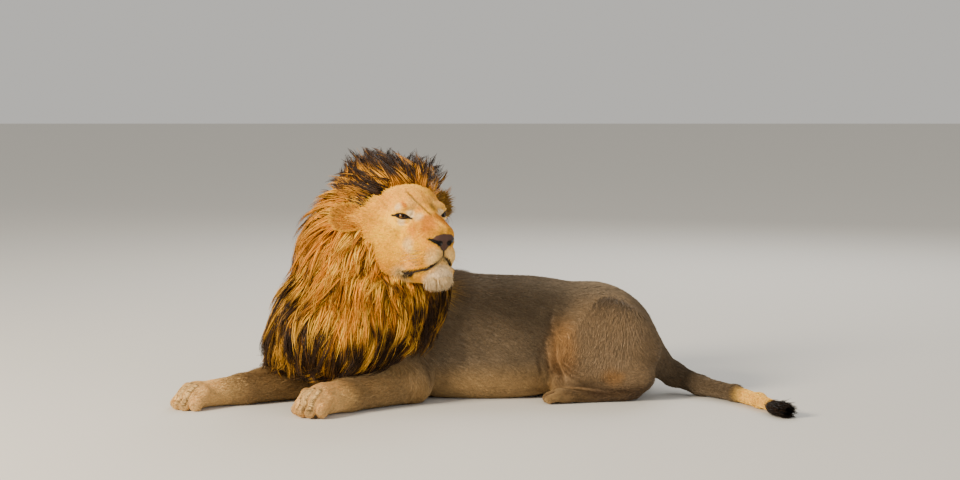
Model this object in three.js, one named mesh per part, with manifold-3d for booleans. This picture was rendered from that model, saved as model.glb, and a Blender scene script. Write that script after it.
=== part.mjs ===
// A male lion at rest: it lies on its chest with its forelegs stretched out and turns its head to its left.
// Millimetres. +Z is up, +X runs from the head to the tail, and the lion's left flank faces -Y.
// The flesh is a smooth field of muscles over a skeleton. It is meshed, then parted by thin cuts.
import * as THREE from "three";
import { mergeVertices } from "three/addons/utils/BufferGeometryUtils.js";
import Module from "manifold-3d";

const wasm = await Module();
wasm.setup();

// ---------- driving dimensions ----------
const BACK_HEIGHT = 418; // top of the back over the floor
const EYE_MIDDLE = [-196, -280, 643]; // halfway between the eyes
const EYE_SIDE = 68; // each eye from the middle of the face
const EYE_RADIUS = 23;
const HEAD_YAW = -58; // where the face looks, from +X towards +Y, degrees
const HEAD_PITCH = 8;
const EARS = [["left", 1, 40], ["right", -1, 8]]; // name, side and height over the eyes
const CHEST_YAW = 35; // the breast is bent towards the lion's left
const CUT_GAP = 0.4; // between neighbouring parts
const BODY_CELL = 24;
const HEAD_CELL = 10;
const PAW_CELL = 9;
const MANE_CELL = 24;
const BODY_TRIANGLES = 1010;
const HEAD_TRIANGLES = 1120;
const PAW_TRIANGLES = 200;
const HIND_PAW_TRIANGLES = 220;
const MANE_TRIANGLES = 570;
const MANE_LINING = 13; // the mane's inner face clears the flesh by this much before it is thinned
const MANE_LINING_TRIANGLES = 270;

// ---------- skeleton ----------
const LEFT = { shoulder: [-355, -195, 200], elbow: [-240, -208, 72], wrist: [-430, -375, 52] };
const RIGHT = { shoulder: [-440, 20, 200], elbow: [-510, -60, 76], wrist: [-800, -238, 50] };
Object.assign(LEFT, { knuckles: [-500, -430, 52], paw: [-527, -450, 49], pawYaw: 238, radii: [76, 54, 51] });
Object.assign(RIGHT, { knuckles: [-885, -278, 46], paw: [-944, -304, 42], pawYaw: 228, radii: [80, 53, 46] });
const NECK_BASE = [-330, -90, 300];
const NECK_TOP = [-345, -105, 540];
const TAIL = [
  [540, 0, 165, 72],
  [600, -4, 118, 56],
  [672, -18, 68, 43],
  [760, -75, 36, 35],
  [865, -190, 28, 29],
  [930, -315, 25, 25],
  [962, -408, 23, 22],
]; // x, y, z and radius, from the rump to the tuft

// ---------- frames ----------
// Local axes as the columns of a rotation: forward by yaw and pitch, then the lion's left, then up.
function turned(yaw = 0, pitch = 0) {
  const spin = new THREE.Matrix4().makeRotationZ(THREE.MathUtils.degToRad(yaw));
  return spin.multiply(new THREE.Matrix4().makeRotationY(THREE.MathUtils.degToRad(-pitch)));
}

const placed = (centre, yaw = 0, pitch = 0) => turned(yaw, pitch).setPosition(...centre);
const HEAD_FRAME = placed(EYE_MIDDLE, HEAD_YAW, HEAD_PITCH);
const HEAD_INVERSE = HEAD_FRAME.clone().invert();
const pawFrame = (leg) => placed(leg.paw, leg.pawYaw);

// ---------- fields: rough signed distances, negative inside ----------
function ellipsoid(centre, radii, frame = new THREE.Matrix4()) {
  const m = frame.elements;
  const [a, b, c] = radii;
  return (x, y, z) => {
    const dx = x - centre[0];
    const dy = y - centre[1];
    const dz = z - centre[2];
    const u = (dx * m[0] + dy * m[1] + dz * m[2]) / a;
    const v = (dx * m[4] + dy * m[5] + dz * m[6]) / b;
    const w = (dx * m[8] + dy * m[9] + dz * m[10]) / c;
    const near = Math.sqrt(u * u + v * v + w * w);
    return (near * (near - 1)) / (Math.sqrt((u / a) ** 2 + (v / b) ** 2 + (w / c) ** 2) + 1e-9);
  };
}

// A rod from one joint to the next, its radius changing evenly.
function limb(from, to, radiusFrom, radiusTo) {
  const [ax, ay, az] = to.map((value, i) => value - from[i]);
  const square = ax * ax + ay * ay + az * az;
  return (x, y, z) => {
    const dx = x - from[0];
    const dy = y - from[1];
    const dz = z - from[2];
    const along = Math.min(Math.max((dx * ax + dy * ay + dz * az) / square, 0), 1);
    const away = Math.sqrt((dx - along * ax) ** 2 + (dy - along * ay) ** 2 + (dz - along * az) ** 2);
    return away - radiusFrom - (radiusTo - radiusFrom) * along;
  };
}

// Joins fields one after another, each [field, width of the soft edge that it is joined with].
function melt(first, ...others) {
  return (x, y, z) => {
    let distance = first(x, y, z);
    for (let i = 0; i < others.length; i++) {
      const other = others[i][0](x, y, z);
      const width = others[i][1];
      const overlap = Math.max(width - Math.abs(distance - other), 0) / width;
      distance = Math.min(distance, other) - overlap * overlap * width * 0.25;
    }
    return distance;
  };
}

// Hollows a field out with another, leaving an edge of the given softness.
function scoop(field, hollow, width) {
  return (x, y, z) => {
    const distance = field(x, y, z);
    const cut = -hollow(x, y, z);
    const overlap = Math.max(width - Math.abs(distance - cut), 0) / width;
    return Math.max(distance, cut) + overlap * overlap * width * 0.25;
  };
}

// A field given in the axes of a frame. A pair is mirrored from the lion's left to its right.
function within(inverse, field, pair = false) {
  const m = inverse.elements;
  return (x, y, z) => {
    const forward = m[0] * x + m[4] * y + m[8] * z + m[12];
    const left = m[1] * x + m[5] * y + m[9] * z + m[13];
    const up = m[2] * x + m[6] * y + m[10] * z + m[14];
    return field(forward, pair ? Math.abs(left) : left, up);
  };
}

const bothSides = (field) => (x, y, z) => field(x, Math.abs(y), z);
const inflated = (field, by) => (x, y, z) => field(x, y, z) - by;
const overlapOf = (one, other) => (x, y, z) => Math.max(one(x, y, z), other(x, y, z));

// ---------- flesh ----------
function headFlesh() {
  const middle = (field) => within(HEAD_INVERSE, field);
  const pair = (field) => within(HEAD_INVERSE, field, true);
  const flesh = melt(
    middle(ellipsoid([-125, 0, 5], [150, 123, 98])), // braincase
    [middle(ellipsoid([-64, 0, 30], [86, 88, 63])), 40], // forehead
    [pair(ellipsoid([0, 58, 25], [33, 34, 18])), 20], // brow
    [pair(limb([-24, 25, -6], [104, 22, -73], 46, 33)), 24], // sides of the nose
    [pair(ellipsoid([8, 46, -96], [78, 42, 64])), 30], // cheek
    [pair(limb([-140, 96, -48], [-28, 74, -44], 40, 27)), 30], // cheekbone
    [pair(ellipsoid([-95, 72, -112], [78, 46, 78])), 40], // jaw muscle
    [middle(limb([0, 0, 6], [108, 0, -69], 40, 32)), 20], // bridge of the nose
    [middle(ellipsoid([46, 0, -120], [86, 58, 60])), 30], // upper jaw
    [pair(ellipsoid([80, 27, -140], [54, 34, 42])), 14], // whisker pad
    [middle(limb([120, -22, -94], [120, 22, -94], 22, 22)), 14], // nose leather
    [pair(limb([-100, 56, -160], [70, 28, -200], 40, 33)), 30], // lower jaw
    [middle(ellipsoid([80, 0, -203], [46, 41, 34])), 20], // chin
    ...EARS.map(([, side, rise]) => [middle(limb([-168, side * 96, 14], [-188, side * 150, rise], 44, 26)), 30]),
  );
  return scoop(flesh, pair(ellipsoid([13, EYE_SIDE + 25, -1], [20, 31, 16], turned(56))), 8); // eye sockets
}

function trunkFlesh() {
  return melt(
    ellipsoid([-120, -30, 205], [300, 165, 208], turned(12)), // ribs
    [ellipsoid([140, 0, 195], [300, 178, 206]), 60], // belly
    [bothSides(ellipsoid([10, 100, 74], [262, 84, 80])), 60], // belly spread on the floor
    [limb([-150, -10, 303], [370, 0, 272], BACK_HEIGHT - 306, 108), 60], // back
    [ellipsoid([430, 0, 235], [180, 130, 138], turned(0, -20)), 50], // hips
    [limb([430, 0, 245], [560, 0, 150], 108, 76), 50], // rump
    [ellipsoid([-360, -115, 200], [190, 175, 202], turned(CHEST_YAW)), 80], // breast
    [ellipsoid([-215, -145, 235], [125, 70, 155], turned(20)), 50], // left shoulder blade
    [ellipsoid([-370, 60, 235], [125, 70, 155], turned(45)), 50], // right shoulder blade
  );
}

function foreleg(leg) {
  return melt(
    limb(leg.shoulder, leg.elbow, 86, leg.radii[0]), // upper arm
    [limb(leg.elbow, leg.wrist, leg.radii[0], leg.radii[1]), 30], // forearm
    [limb(leg.wrist, leg.knuckles, leg.radii[1], leg.radii[2]), 20],
    [ellipsoid(leg.paw, [76, 62, 47], turned(leg.pawYaw)), 20],
  );
}

function hindleg() {
  const toe = (side) => limb([270, 217 + side, 27], [236, 220 + 1.1 * side, 18], 17, 16);
  return melt(
    ellipsoid([440, 122, 180], [180, 104, 157], turned(0, -8)), // thigh
    [ellipsoid([354, 166, 162], [104, 72, 95]), 50], // knee
    [limb([356, 178, 120], [545, 174, 78], 62, 50), 40], // shank
    [limb([300, 140, 40], [500, 150, 50], 56, 60), 30], // shank's inner side
    [limb([500, 184, 20], [340, 212, 24], 22, 25), 8], // hock to toes
    [ellipsoid([292, 216, 26], [62, 40, 27], turned(-8)), 12], // hind paw
    ...[-27, -9, 9, 27].map((side) => [toe(side), 5]),
  );
}

function tailFlesh() {
  const lengths = TAIL.slice(1).map((to, i) => [limb(TAIL[i].slice(0, 3), to.slice(0, 3), TAIL[i][3], to[3]), 20]);
  return melt(lengths[0][0], ...lengths.slice(1));
}

const neckFlesh = melt(limb(NECK_BASE, NECK_TOP, 165, 122), [limb(NECK_TOP, [-300, -160, 615], 122, 104), 40]);
const bodyFlesh = melt(
  trunkFlesh(),
  [neckFlesh, 80],
  [bothSides(hindleg()), 25],
  [foreleg(LEFT), 30],
  [foreleg(RIGHT), 30],
  [tailFlesh(), 40],
);
const wholeFlesh = melt(bodyFlesh, [headFlesh(), 50]);

// Four toes, each a knuckle and a toe end, spread over the front of a paw that points along its frame's X.
function toes(frame) {
  const at = (x, y, z) => new THREE.Vector3(x, y, z).applyMatrix4(frame).toArray();
  const spread = [-50, -17, 17, 50];
  return spread.map((side, i) => {
    const reach = i === 0 || i === 3 ? -20 : 0;
    return limb(at(reach + 24, side * 0.84, 14), at(reach + 70, side, -26), 24, 21);
  });
}

// ---------- mane ----------
const MANE_RIDGES = 15; // locks of hair round the neck
const MANE_RIDGE_DEPTH = 9;
// The height in the head's frame, and how far forward the long hair starts there.
const HAIRLINE = [
  [-420, 200], [-330, 110], [-260, 30], [-226, -30], [-182, -64], [-126, -90], [-80, -114], [-42, -128],
  [8, -126], [54, -114],
];

// The value of a curve through points whose first numbers rise, level beyond its ends.
function alongCurve(curve, at) {
  const next = curve.findIndex(([x]) => x > at);
  if (next === 0) return curve[0][1];
  if (next < 0) return curve[curve.length - 1][1];
  const [[x0, y0], [x1, y1]] = [curve[next - 1], curve[next]];
  return y0 + ((at - x0) / (x1 - x0)) * (y1 - y0);
}

function maneField() {
  const bulk = melt(
    ellipsoid([-322, -85, 660], [176, 156, 184]), // crest behind the crown
    [ellipsoid([-188, -94, 714], [132, 108, 114]), 50], // crest on the far side of the forehead
    [ellipsoid([-198, -62, 626], [124, 112, 136]), 50], // behind the far ear
    [ellipsoid([-406, -125, 460], [236, 225, 262]), 80], // sides of the neck
    [ellipsoid([-480, -160, 262], [245, 250, 168]), 80], // breast
    [ellipsoid([-488, -285, 205], [147, 128, 118]), 80], // bib between the forelegs
    [ellipsoid([-622, -150, 325], [82, 140, 100]), 60], // front of the neck
    [ellipsoid([-640, -170, 185], [110, 120, 80]), 60], // fringe over the right foreleg
    [ellipsoid([-282, -165, 388], [164, 158, 192]), 60], // throat
    [ellipsoid([-226, -30, 350], [122, 112, 90]), 60], // nape, down to the withers
    [ellipsoid([-335, 45, 375], [125, 92, 110]), 60], // over the right shoulder
  );
  const hair = (x, y, z) => {
    const around = Math.atan2(y - NECK_TOP[1], x - NECK_TOP[0]);
    const ridge = Math.cos(MANE_RIDGES * around + z / 60) + 0.5 * Math.cos(2.3 * MANE_RIDGES * around - z / 45);
    return bulk(x, y, z) - MANE_RIDGE_DEPTH * ridge;
  };
  // The face is clear in front of a hairline over the forehead, down behind the cheek and forward along the jaw.
  const face = within(HEAD_INVERSE, (forward, left, up) => {
    const over = THREE.MathUtils.smoothstep(up, 44, 78);
    const low = THREE.MathUtils.smoothstep(up, -230, -150);
    const brow = -6 - (left > 0 ? 0.6 : 1) * Math.abs(left);
    const hairline = alongCurve(HAIRLINE, up) * (1 - over) + brow * over;
    const cone = Math.max(Math.hypot(left, up + 30) - 140, 0) * (0.85 - 0.65 * over) * low;
    return (forward + cone - hairline) / 1.3;
  });
  return overlapOf(hair, face);
}

// ---------- meshes ----------
// A closed surface through the zeros of a field. Space is filled with tetrahedra, each between two neighbouring
// cell middles and one edge of the square between those cells, so the surface never touches itself.
function surface(field, low, high, cell) {
  const count = low.map((value, i) => Math.ceil((high[i] - value) / cell) + 1);
  const stride = [1, count[0], count[0] * count[1]];
  const total = count[0] * count[1] * count[2];
  const values = new Float64Array(2 * total); // corners, then cell middles
  for (let half = 0, index = 0; half < 1; half += 0.5)
    for (let k = 0; k < count[2]; k++)
      for (let j = 0; j < count[1]; j++)
        for (let i = 0; i < count[0]; i++)
          values[index++] = field(
            low[0] + (i + half) * cell,
            low[1] + (j + half) * cell,
            low[2] + (k + half) * cell,
          );
  const place = (index) => {
    const half = index >= total ? 0.5 : 0;
    const n = index % total;
    const [i, j, k] = [n % stride[1], Math.floor(n / stride[1]) % count[1], Math.floor(n / stride[2])];
    return new THREE.Vector3(i + half, j + half, k + half)
      .multiplyScalar(cell)
      .add(new THREE.Vector3(...low));
  };
  const vertexOf = new Map();
  const points = [];
  const crossing = (a, b) => {
    const key = Math.min(a, b) * 2 * total + Math.max(a, b);
    if (!vertexOf.has(key)) {
      const share = THREE.MathUtils.clamp(values[a] / (values[a] - values[b]), 0.04, 0.96);
      vertexOf.set(key, points.length);
      points.push(place(a).lerp(place(b), share));
    }
    return vertexOf.get(key);
  };
  const rightHanded = (a, b, c, d) => {
    const from = place(a);
    return place(b).sub(from).cross(place(c).sub(from)).dot(place(d).sub(from)) > 0;
  };
  const faces = [];
  const crossTetrahedron = (corners) => {
    const inner = corners.filter((index) => values[index] < 0);
    const outer = corners.filter((index) => values[index] >= 0);
    if (!inner.length || !outer.length) return;
    if (inner.length === 2) {
      const [a, b] = inner;
      const [c, d] = outer;
      const ring = [crossing(a, c), crossing(a, d), crossing(b, d), crossing(b, c)];
      if (!rightHanded(a, b, c, d)) ring.reverse();
      faces.push([ring[0], ring[1], ring[2]], [ring[0], ring[2], ring[3]]);
      return;
    }
    const [tip] = inner.length === 1 ? inner : outer;
    const others = corners.filter((index) => index !== tip);
    const ring = others.map((index) => crossing(tip, index));
    if (rightHanded(tip, ...others) !== (inner.length === 1)) ring.reverse();
    faces.push(ring);
  };
  for (let k = 1; k < count[2] - 1; k++)
    for (let j = 1; j < count[1] - 1; j++)
      for (let i = 1; i < count[0] - 1; i++)
        for (let axis = 0; axis < 3; axis++) {
          const corner = i + j * stride[1] + k * stride[2];
          const u = stride[(axis + 1) % 3];
          const v = stride[(axis + 2) % 3];
          const square = [corner, corner + u, corner + u + v, corner + v];
          const middles = [total + corner - stride[axis], total + corner];
          const inside = values[corner] < 0;
          if ([...square, ...middles].every((index) => values[index] < 0 === inside)) continue;
          for (let n = 0; n < 4; n++) crossTetrahedron([...middles, square[n], square[(n + 1) % 4]]);
        }
  return { points, faces };
}

// The sum of squared distances to planes, as the ten numbers of a symmetric matrix.
function planeCost(q, p) {
  const { x, y, z } = p;
  const square = q[0] * x * x + q[4] * y * y + q[7] * z * z;
  const mixed = q[1] * x * y + q[2] * x * z + q[5] * y * z;
  return square + 2 * (mixed + q[3] * x + q[6] * y + q[8] * z) + q[9];
}

function faceNormal(points, face) {
  const [a, b, c] = face.map((index) => points[index]);
  return new THREE.Vector3().subVectors(b, a).cross(new THREE.Vector3().subVectors(c, a));
}

function planesAtVertices({ points, faces }) {
  const planes = points.map(() => new Float64Array(10));
  for (const face of faces) {
    const normal = faceNormal(points, face);
    const area = normal.length();
    normal.normalize();
    const row = [...normal.toArray(), -normal.dot(points[face[0]])];
    for (const index of face)
      for (let a = 0, slot = 0; a < 4; a++)
        for (let b = a; b < 4; b++) planes[index][slot++] += row[a] * row[b] * area;
  }
  return planes;
}

// The vertex that takes the place of both ends of an edge, and what it costs.
function mergedVertex(points, planes, a, b) {
  const both = planes[a].map((value, slot) => value + planes[b][slot]);
  const system = new THREE.Matrix3().set(
    both[0], both[1], both[2], both[1], both[4], both[5], both[2], both[5], both[7],
  );
  const weight = both[0] + both[4] + both[7];
  const length = points[a].distanceTo(points[b]);
  let point = points[a].clone().add(points[b]).multiplyScalar(0.5);
  if (Math.abs(system.determinant()) > 1e-4 * weight ** 3) {
    const solved = new THREE.Vector3(-both[3], -both[6], -both[8]).applyMatrix3(system.invert());
    if (solved.distanceTo(point) < length) point = solved;
  }
  return { a, b, point, planes: both, price: planeCost(both, point) + 1e-3 * length * length * weight };
}

// Merges edges, cheapest first, until few enough triangles are left. The surface stays closed.
function thin(mesh, target) {
  const { points } = mesh;
  let { faces } = mesh;
  const planes = planesAtVertices(mesh);
  while (faces.length > target) {
    const around = points.map(() => []);
    faces.forEach((face) => face.forEach((index) => around[index].push(face)));
    const neighbours = (index) => new Set(around[index].flat().filter((other) => other !== index));
    const edges = faces.flatMap((face) => face.map((a, i) => [a, face[(i + 1) % 3]])).filter(([a, b]) => a < b);
    const merges = edges.map(([a, b]) => mergedVertex(points, planes, a, b));
    merges.sort((one, other) => one.price - other.price);
    const touched = new Set();
    const dead = new Set();
    for (const { a, b, point, planes: both } of merges.slice(0, Math.ceil(merges.length * 0.2))) {
      if (faces.length - dead.size <= target) break;
      if (touched.has(a) || touched.has(b)) continue;
      const nearA = neighbours(a);
      const nearB = neighbours(b);
      if ([...nearA].filter((index) => nearB.has(index)).length !== 2) continue;
      const moved = [...around[a], ...around[b]].filter((face) => !(face.includes(a) && face.includes(b)));
      const flips = moved.some((face) => {
        const before = faceNormal(points, face);
        const corners = face.map((index) => (index === a || index === b ? point : points[index]));
        const after = faceNormal(corners, [0, 1, 2]);
        return after.dot(before) < 0.3 * after.length() * before.length();
      });
      if (flips) continue;
      points[a] = point;
      planes[a] = both;
      for (const face of around[b]) {
        if (face.includes(a)) dead.add(face);
        else face[face.indexOf(b)] = a;
      }
      for (const index of [a, b, ...nearA, ...nearB]) touched.add(index);
    }
    if (!dead.size) break;
    faces = faces.filter((face) => !dead.has(face));
  }
  return { points, faces };
}

// ---------- solids ----------
function solidFrom(vertProperties, triVerts) {
  return new wasm.Manifold(new wasm.Mesh({ numProp: 3, vertProperties, triVerts }));
}

function solidOfMesh({ points, faces }) {
  const used = new Map();
  for (const index of faces.flat()) if (!used.has(index)) used.set(index, used.size);
  const positions = [...used.keys()].flatMap((index) => points[index].toArray());
  const corners = faces.flat().map((index) => used.get(index));
  return solidFrom(new Float32Array(positions), new Uint32Array(corners));
}

function solidOfGeometry(geometry, matrix) {
  const bare = geometry.clone().applyMatrix4(matrix);
  bare.deleteAttribute("normal");
  bare.deleteAttribute("uv");
  const merged = mergeVertices(bare, 1e-3);
  return solidFrom(merged.attributes.position.array, new Uint32Array(merged.index.array));
}

function geometryOf(solid) {
  const mesh = solid.getMesh();
  const positions = new Float32Array(mesh.numVert * 3);
  for (let i = 0; i < mesh.numVert; i++)
    for (let axis = 0; axis < 3; axis++) positions[3 * i + axis] = mesh.vertProperties[mesh.numProp * i + axis];
  const geometry = new THREE.BufferGeometry();
  geometry.setAttribute("position", new THREE.BufferAttribute(positions, 3));
  geometry.setIndex(new THREE.BufferAttribute(new Uint32Array(mesh.triVerts), 1));
  geometry.computeVertexNormals();
  return geometry;
}

// The solid with each vertex moved outwards by a small distance.
function swollen(solid, by) {
  const geometry = geometryOf(solid);
  const positions = geometry.attributes.position.array;
  const normals = geometry.attributes.normal.array;
  for (let i = 0; i < positions.length; i++) positions[i] += by * normals[i];
  return solidFrom(positions, geometry.index.array);
}

const block = (size, frame, centre = [0, 0, 0]) =>
  solidOfGeometry(
    new THREE.BoxGeometry(...size),
    frame.clone().multiply(new THREE.Matrix4().makeTranslation(...centre)),
  );
const COARSE = [8, 4]; // rounds and bands of a sphere that only cuts
const FINE = [12, 8];
const egg = (centre, radii, frame, grow = 0, detail = COARSE) => {
  const scale = new THREE.Matrix4().makeScale(...radii.map((radius) => radius + grow));
  const place = frame.clone().multiply(new THREE.Matrix4().makeTranslation(...centre)).multiply(scale);
  return solidOfGeometry(new THREE.SphereGeometry(1, ...detail), place);
};
const largest = (solid) => solid.decompose().sort((one, other) => other.volume() - one.volume())[0];
const ABOVE_FLOOR = block([4000, 4000, 2000], placed([0, 0, 1000]));
const solidOfField = (field, low, high, cell, triangles) =>
  solidOfMesh(thin(surface(field, low, high, cell), triangles)).intersect(ABOVE_FLOOR);

// ---------- colours ----------
const hair = (color) => new THREE.MeshStandardMaterial({ color, roughness: 0.85, metalness: 0 });
const SAND = hair("#a98a5c");
const FACE = hair("#c79a58");
const FLANK = hair("#8d7350");
const MANE_GOLD = hair("#b5772a");
const MANE_DARK = hair("#3a2818");
const CHIN = hair("#d9cdb8");
const NOSE = new THREE.MeshStandardMaterial({ color: "#5a3c34", roughness: 0.5, metalness: 0 });
const EYE = new THREE.MeshStandardMaterial({ color: "#7a5a20", roughness: 0.12, metalness: 0 });

const parts = new Map();
const keep = (name, solid, material) => parts.set(name, { solid: largest(solid), material });

// ---------- body and legs ----------
let body = solidOfField(bodyFlesh, [-1080, -600, -60], [1070, 340, 760], BODY_CELL, BODY_TRIANGLES);

// Takes a region out of the body as a part of its own, leaving a gap round it.
function carve(name, region, widerRegion, material) {
  if (name) keep(name, body.intersect(region), material);
  body = body.subtract(widerRegion);
}

function carveEgg(name, centre, radii, yaw, pitch, material) {
  const frame = placed(centre, yaw, pitch);
  carve(name, egg([0, 0, 0], radii, frame), egg([0, 0, 0], radii, frame, CUT_GAP), material);
}

const TUFT = [972, -446, 27]; // the black brush at the end of the tail
const TUFT_YAW = -66;
const yawBetween = (from, to) => THREE.MathUtils.radToDeg(Math.atan2(to[1] - from[1], to[0] - from[0]));
const between = (from, to, share) => from.map((value, i) => value + share * (to[i] - value));

for (const [side, leg] of Object.entries({ left: LEFT, right: RIGHT })) {
  const yaw = yawBetween(leg.wrist, leg.knuckles);
  const start = placed(leg.wrist, yaw);
  const size = [260, 260, 260];
  const pawFlesh = melt(bodyFlesh, ...toes(pawFrame(leg)).map((toe) => [toe, 5]));
  const behind = within(start.clone().invert(), (forward) => -25 - forward);
  const low = [leg.paw[0] - 130, leg.paw[1] - 130, -20];
  const high = [leg.wrist[0] + 90, leg.wrist[1] + 90, 140];
  const paw = solidOfField(overlapOf(pawFlesh, behind), low, high, PAW_CELL, PAW_TRIANGLES);
  keep(`forepaw_${side}`, paw.intersect(block(size, start, [130, 0, 0])), SAND);
  carve(null, null, block(size, start, [130 - CUT_GAP, 0, 0]));
  const length = Math.hypot(leg.wrist[0] - leg.elbow[0], leg.wrist[1] - leg.elbow[1]);
  carveEgg(
    `forearm_${side}`, between(leg.elbow, leg.wrist, 0.5), [length / 2 + 92, 112, 116],
    yawBetween(leg.elbow, leg.wrist), 0, SAND,
  );
  carveEgg(`upper_arm_${side}`, between(leg.shoulder, leg.elbow, 0.35), [135, 92, 150], yaw + 40, 0, SAND);
}

for (const [side, sign] of Object.entries({ left: -1, right: 1 })) {
  const footFlesh = (x, y, z) => Math.max(bodyFlesh(x, y, z), Math.abs(x - 290) - 85, 150 - sign * y, z - 75);
  const [low, high] = [[185, sign * 220 - 90, -40], [395, sign * 220 + 90, 95]];
  const foot = solidOfField(footFlesh, low, high, PAW_CELL, HIND_PAW_TRIANGLES);
  const footBlock = (grow) => block([150 + grow, 130 + grow, 80 + grow], placed([275, sign * 230, 22]));
  keep(`hind_foot_${side}`, foot.intersect(footBlock(0)), SAND);
  carve(null, null, footBlock(2 * CUT_GAP));
  carveEgg(`shank_${side}`, [415, sign * 226, 40], [205, 76, 84], 0, 0, SAND);
  carveEgg(`thigh_${side}`, [430, sign * 190, 190], [215, 122, 200], 0, -8, FLANK);
}

const tailCut = (index, shift) => {
  const frame = placed(TAIL[index].slice(0, 3), yawBetween(TAIL[index], TAIL[index + 1]));
  return block([500, 400, 300], frame, [250 + shift, 0, 0]);
};
carve("tail_end", tailCut(4, 0), tailCut(4, -CUT_GAP), MANE_GOLD);
carve("tail_middle", tailCut(2, 0), tailCut(2, -CUT_GAP), FLANK);
const tailRoot = (shift) => block([300, 300, 300], placed([566, 0, 150], 0, -38), [150 + shift, 0, 0]);
carve("tail_base", tailRoot(0), tailRoot(-CUT_GAP), FLANK);

const tuft = egg([0, 0, 0], [86, 36, 30], placed(TUFT, TUFT_YAW), 0, FINE).intersect(ABOVE_FLOOR);
keep("tail_tuft", tuft.subtract(swollen(parts.get("tail_end").solid, CUT_GAP)), MANE_DARK);

// ---------- head ----------
const THROAT_CUT = HEAD_FRAME.clone().multiply(placed([-130, 0, -120], 0, 60)); // its X points into the head
const throatSide = within(THROAT_CUT.clone().invert(), (forward) => -forward - 28);
const inFrontOfThroat = (shift) => block([700, 700, 700], THROAT_CUT, [350 + shift, 0, 0]);
const HEAD_BOX = [[-520, -520, 330], [60, 60, 800]];
const skull = solidOfField(overlapOf(wholeFlesh, throatSide), ...HEAD_BOX, HEAD_CELL, HEAD_TRIANGLES);
const eyeFrame = (sign) => HEAD_FRAME.clone().multiply(placed([-4, sign * EYE_SIDE, -2]));
const NOSE_EGG = [[130, 0, -96], [36, 50, 29]];
const jawBlock = (grow) => block([240, 200, 200 + grow], HEAD_FRAME, [70, 0, -281]);

let head = skull.intersect(inFrontOfThroat(0));
for (const [side, sign] of Object.entries({ left: 1, right: -1 })) {
  const ball = (grow) => egg([0, 0, 0], Array(3).fill(EYE_RADIUS), eyeFrame(sign), grow, FINE);
  head = head.subtract(ball(CUT_GAP));
  keep(`eye_${side}`, ball(0), EYE);
}
keep("nose", head.intersect(egg(...NOSE_EGG, HEAD_FRAME)), NOSE);
head = head.subtract(egg(...NOSE_EGG, HEAD_FRAME, CUT_GAP));
keep("lower_jaw", head.intersect(jawBlock(0)), CHIN);
head = head.subtract(jawBlock(2 * CUT_GAP));

// ---------- ears ----------
const EAR_RADII = [15, 66, 54]; // half of its thickness, length and breadth
const wholeHead = swollen(skull.intersect(inFrontOfThroat(0)), CUT_GAP);
const ears = [];
for (const [side, sign, rise] of EARS) {
  const frame = HEAD_FRAME.clone().multiply(placed([-186, sign * 172, rise], sign * 22, 12));
  const cup = egg([16, sign * 6, 2], [18, 54, 43], frame);
  const ear = largest(egg([0, 0, 0], EAR_RADII, frame, 0, FINE).subtract(cup).subtract(wholeHead));
  keep(`ear_${side}`, ear, FACE);
  ears.push(egg([4, 0, 0], [26, 68, 56], frame, CUT_GAP).add(egg([60, 0, -10], [64, 62, 52], frame)));
}

// ---------- neck ----------
const neckTop = body.subtract(inFrontOfThroat(-CUT_GAP));
const collar = (shift) => block([900, 900, 900], placed([-330, -95, 372], 198, 62), [450 + shift, 0, 0]);
keep("neck", neckTop.intersect(collar(0)), FLANK);
keep("trunk", neckTop.subtract(collar(-CUT_GAP)), FLANK);
keep("head", head, FACE);

// ---------- mane ----------
let mane = solidOfField(maneField(), [-800, -500, -10], [30, 160, 920], MANE_CELL, MANE_TRIANGLES);
const foreHalf = overlapOf(inflated(wholeFlesh, MANE_LINING), (x) => x - 60);
mane = mane.subtract(solidOfField(foreHalf, [-1100, -620, -60], [120, 300, 820], MANE_CELL, MANE_LINING_TRIANGLES));
for (const ear of ears) mane = mane.subtract(ear);
for (const { solid } of parts.values()) mane = mane.subtract(swollen(solid, CUT_GAP)).subtract(solid);
const above = (height) => block([1600, 1600, 1000], placed([-400, -150, height + 500]));
const chestSide = (shift) => block([900, 1600, 1600], placed([-330, -100, 300], -55), [450 + shift, 0, 0]);
const crest = mane.intersect(above(640));
mane = mane.subtract(above(640 - CUT_GAP));
keep("mane_crest", crest, MANE_GOLD);
keep("mane_breast", mane.intersect(block([2000, 2000, 240], placed([-400, -150, 120]))), MANE_DARK);
mane = mane.subtract(block([2000, 2000, 240 + 2 * CUT_GAP], placed([-400, -150, 120])));
keep("mane_left", mane.intersect(chestSide(0)), MANE_GOLD);
keep("mane_right", mane.subtract(chestSide(-CUT_GAP)), MANE_GOLD);

// ---------- the lion, with its bottom middle at the origin ----------
const group = new THREE.Group();
for (const [name, { solid, material }] of parts) {
  const mesh = new THREE.Mesh(geometryOf(solid), material);
  mesh.name = name;
  group.add(mesh);
}
const box = new THREE.Box3().setFromObject(group);
const middle = box.getCenter(new THREE.Vector3());
group.position.set(-middle.x, -middle.y, -box.min.z);
group.updateMatrixWorld(true);

export default group;
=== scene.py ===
"""A life-size still model of a male lion at rest, in skin, short coat, mane, eyes and whiskers.

Lengths in the anatomy are millimetres in the lion's own axes: X from head to tail, Z up, and the left flank
towards -Y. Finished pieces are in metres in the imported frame. Arrays of points and colours are N x 3.
"""

import logging
import math
from dataclasses import dataclass
from enum import Enum
from typing import Callable, Iterator, Sequence

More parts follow.
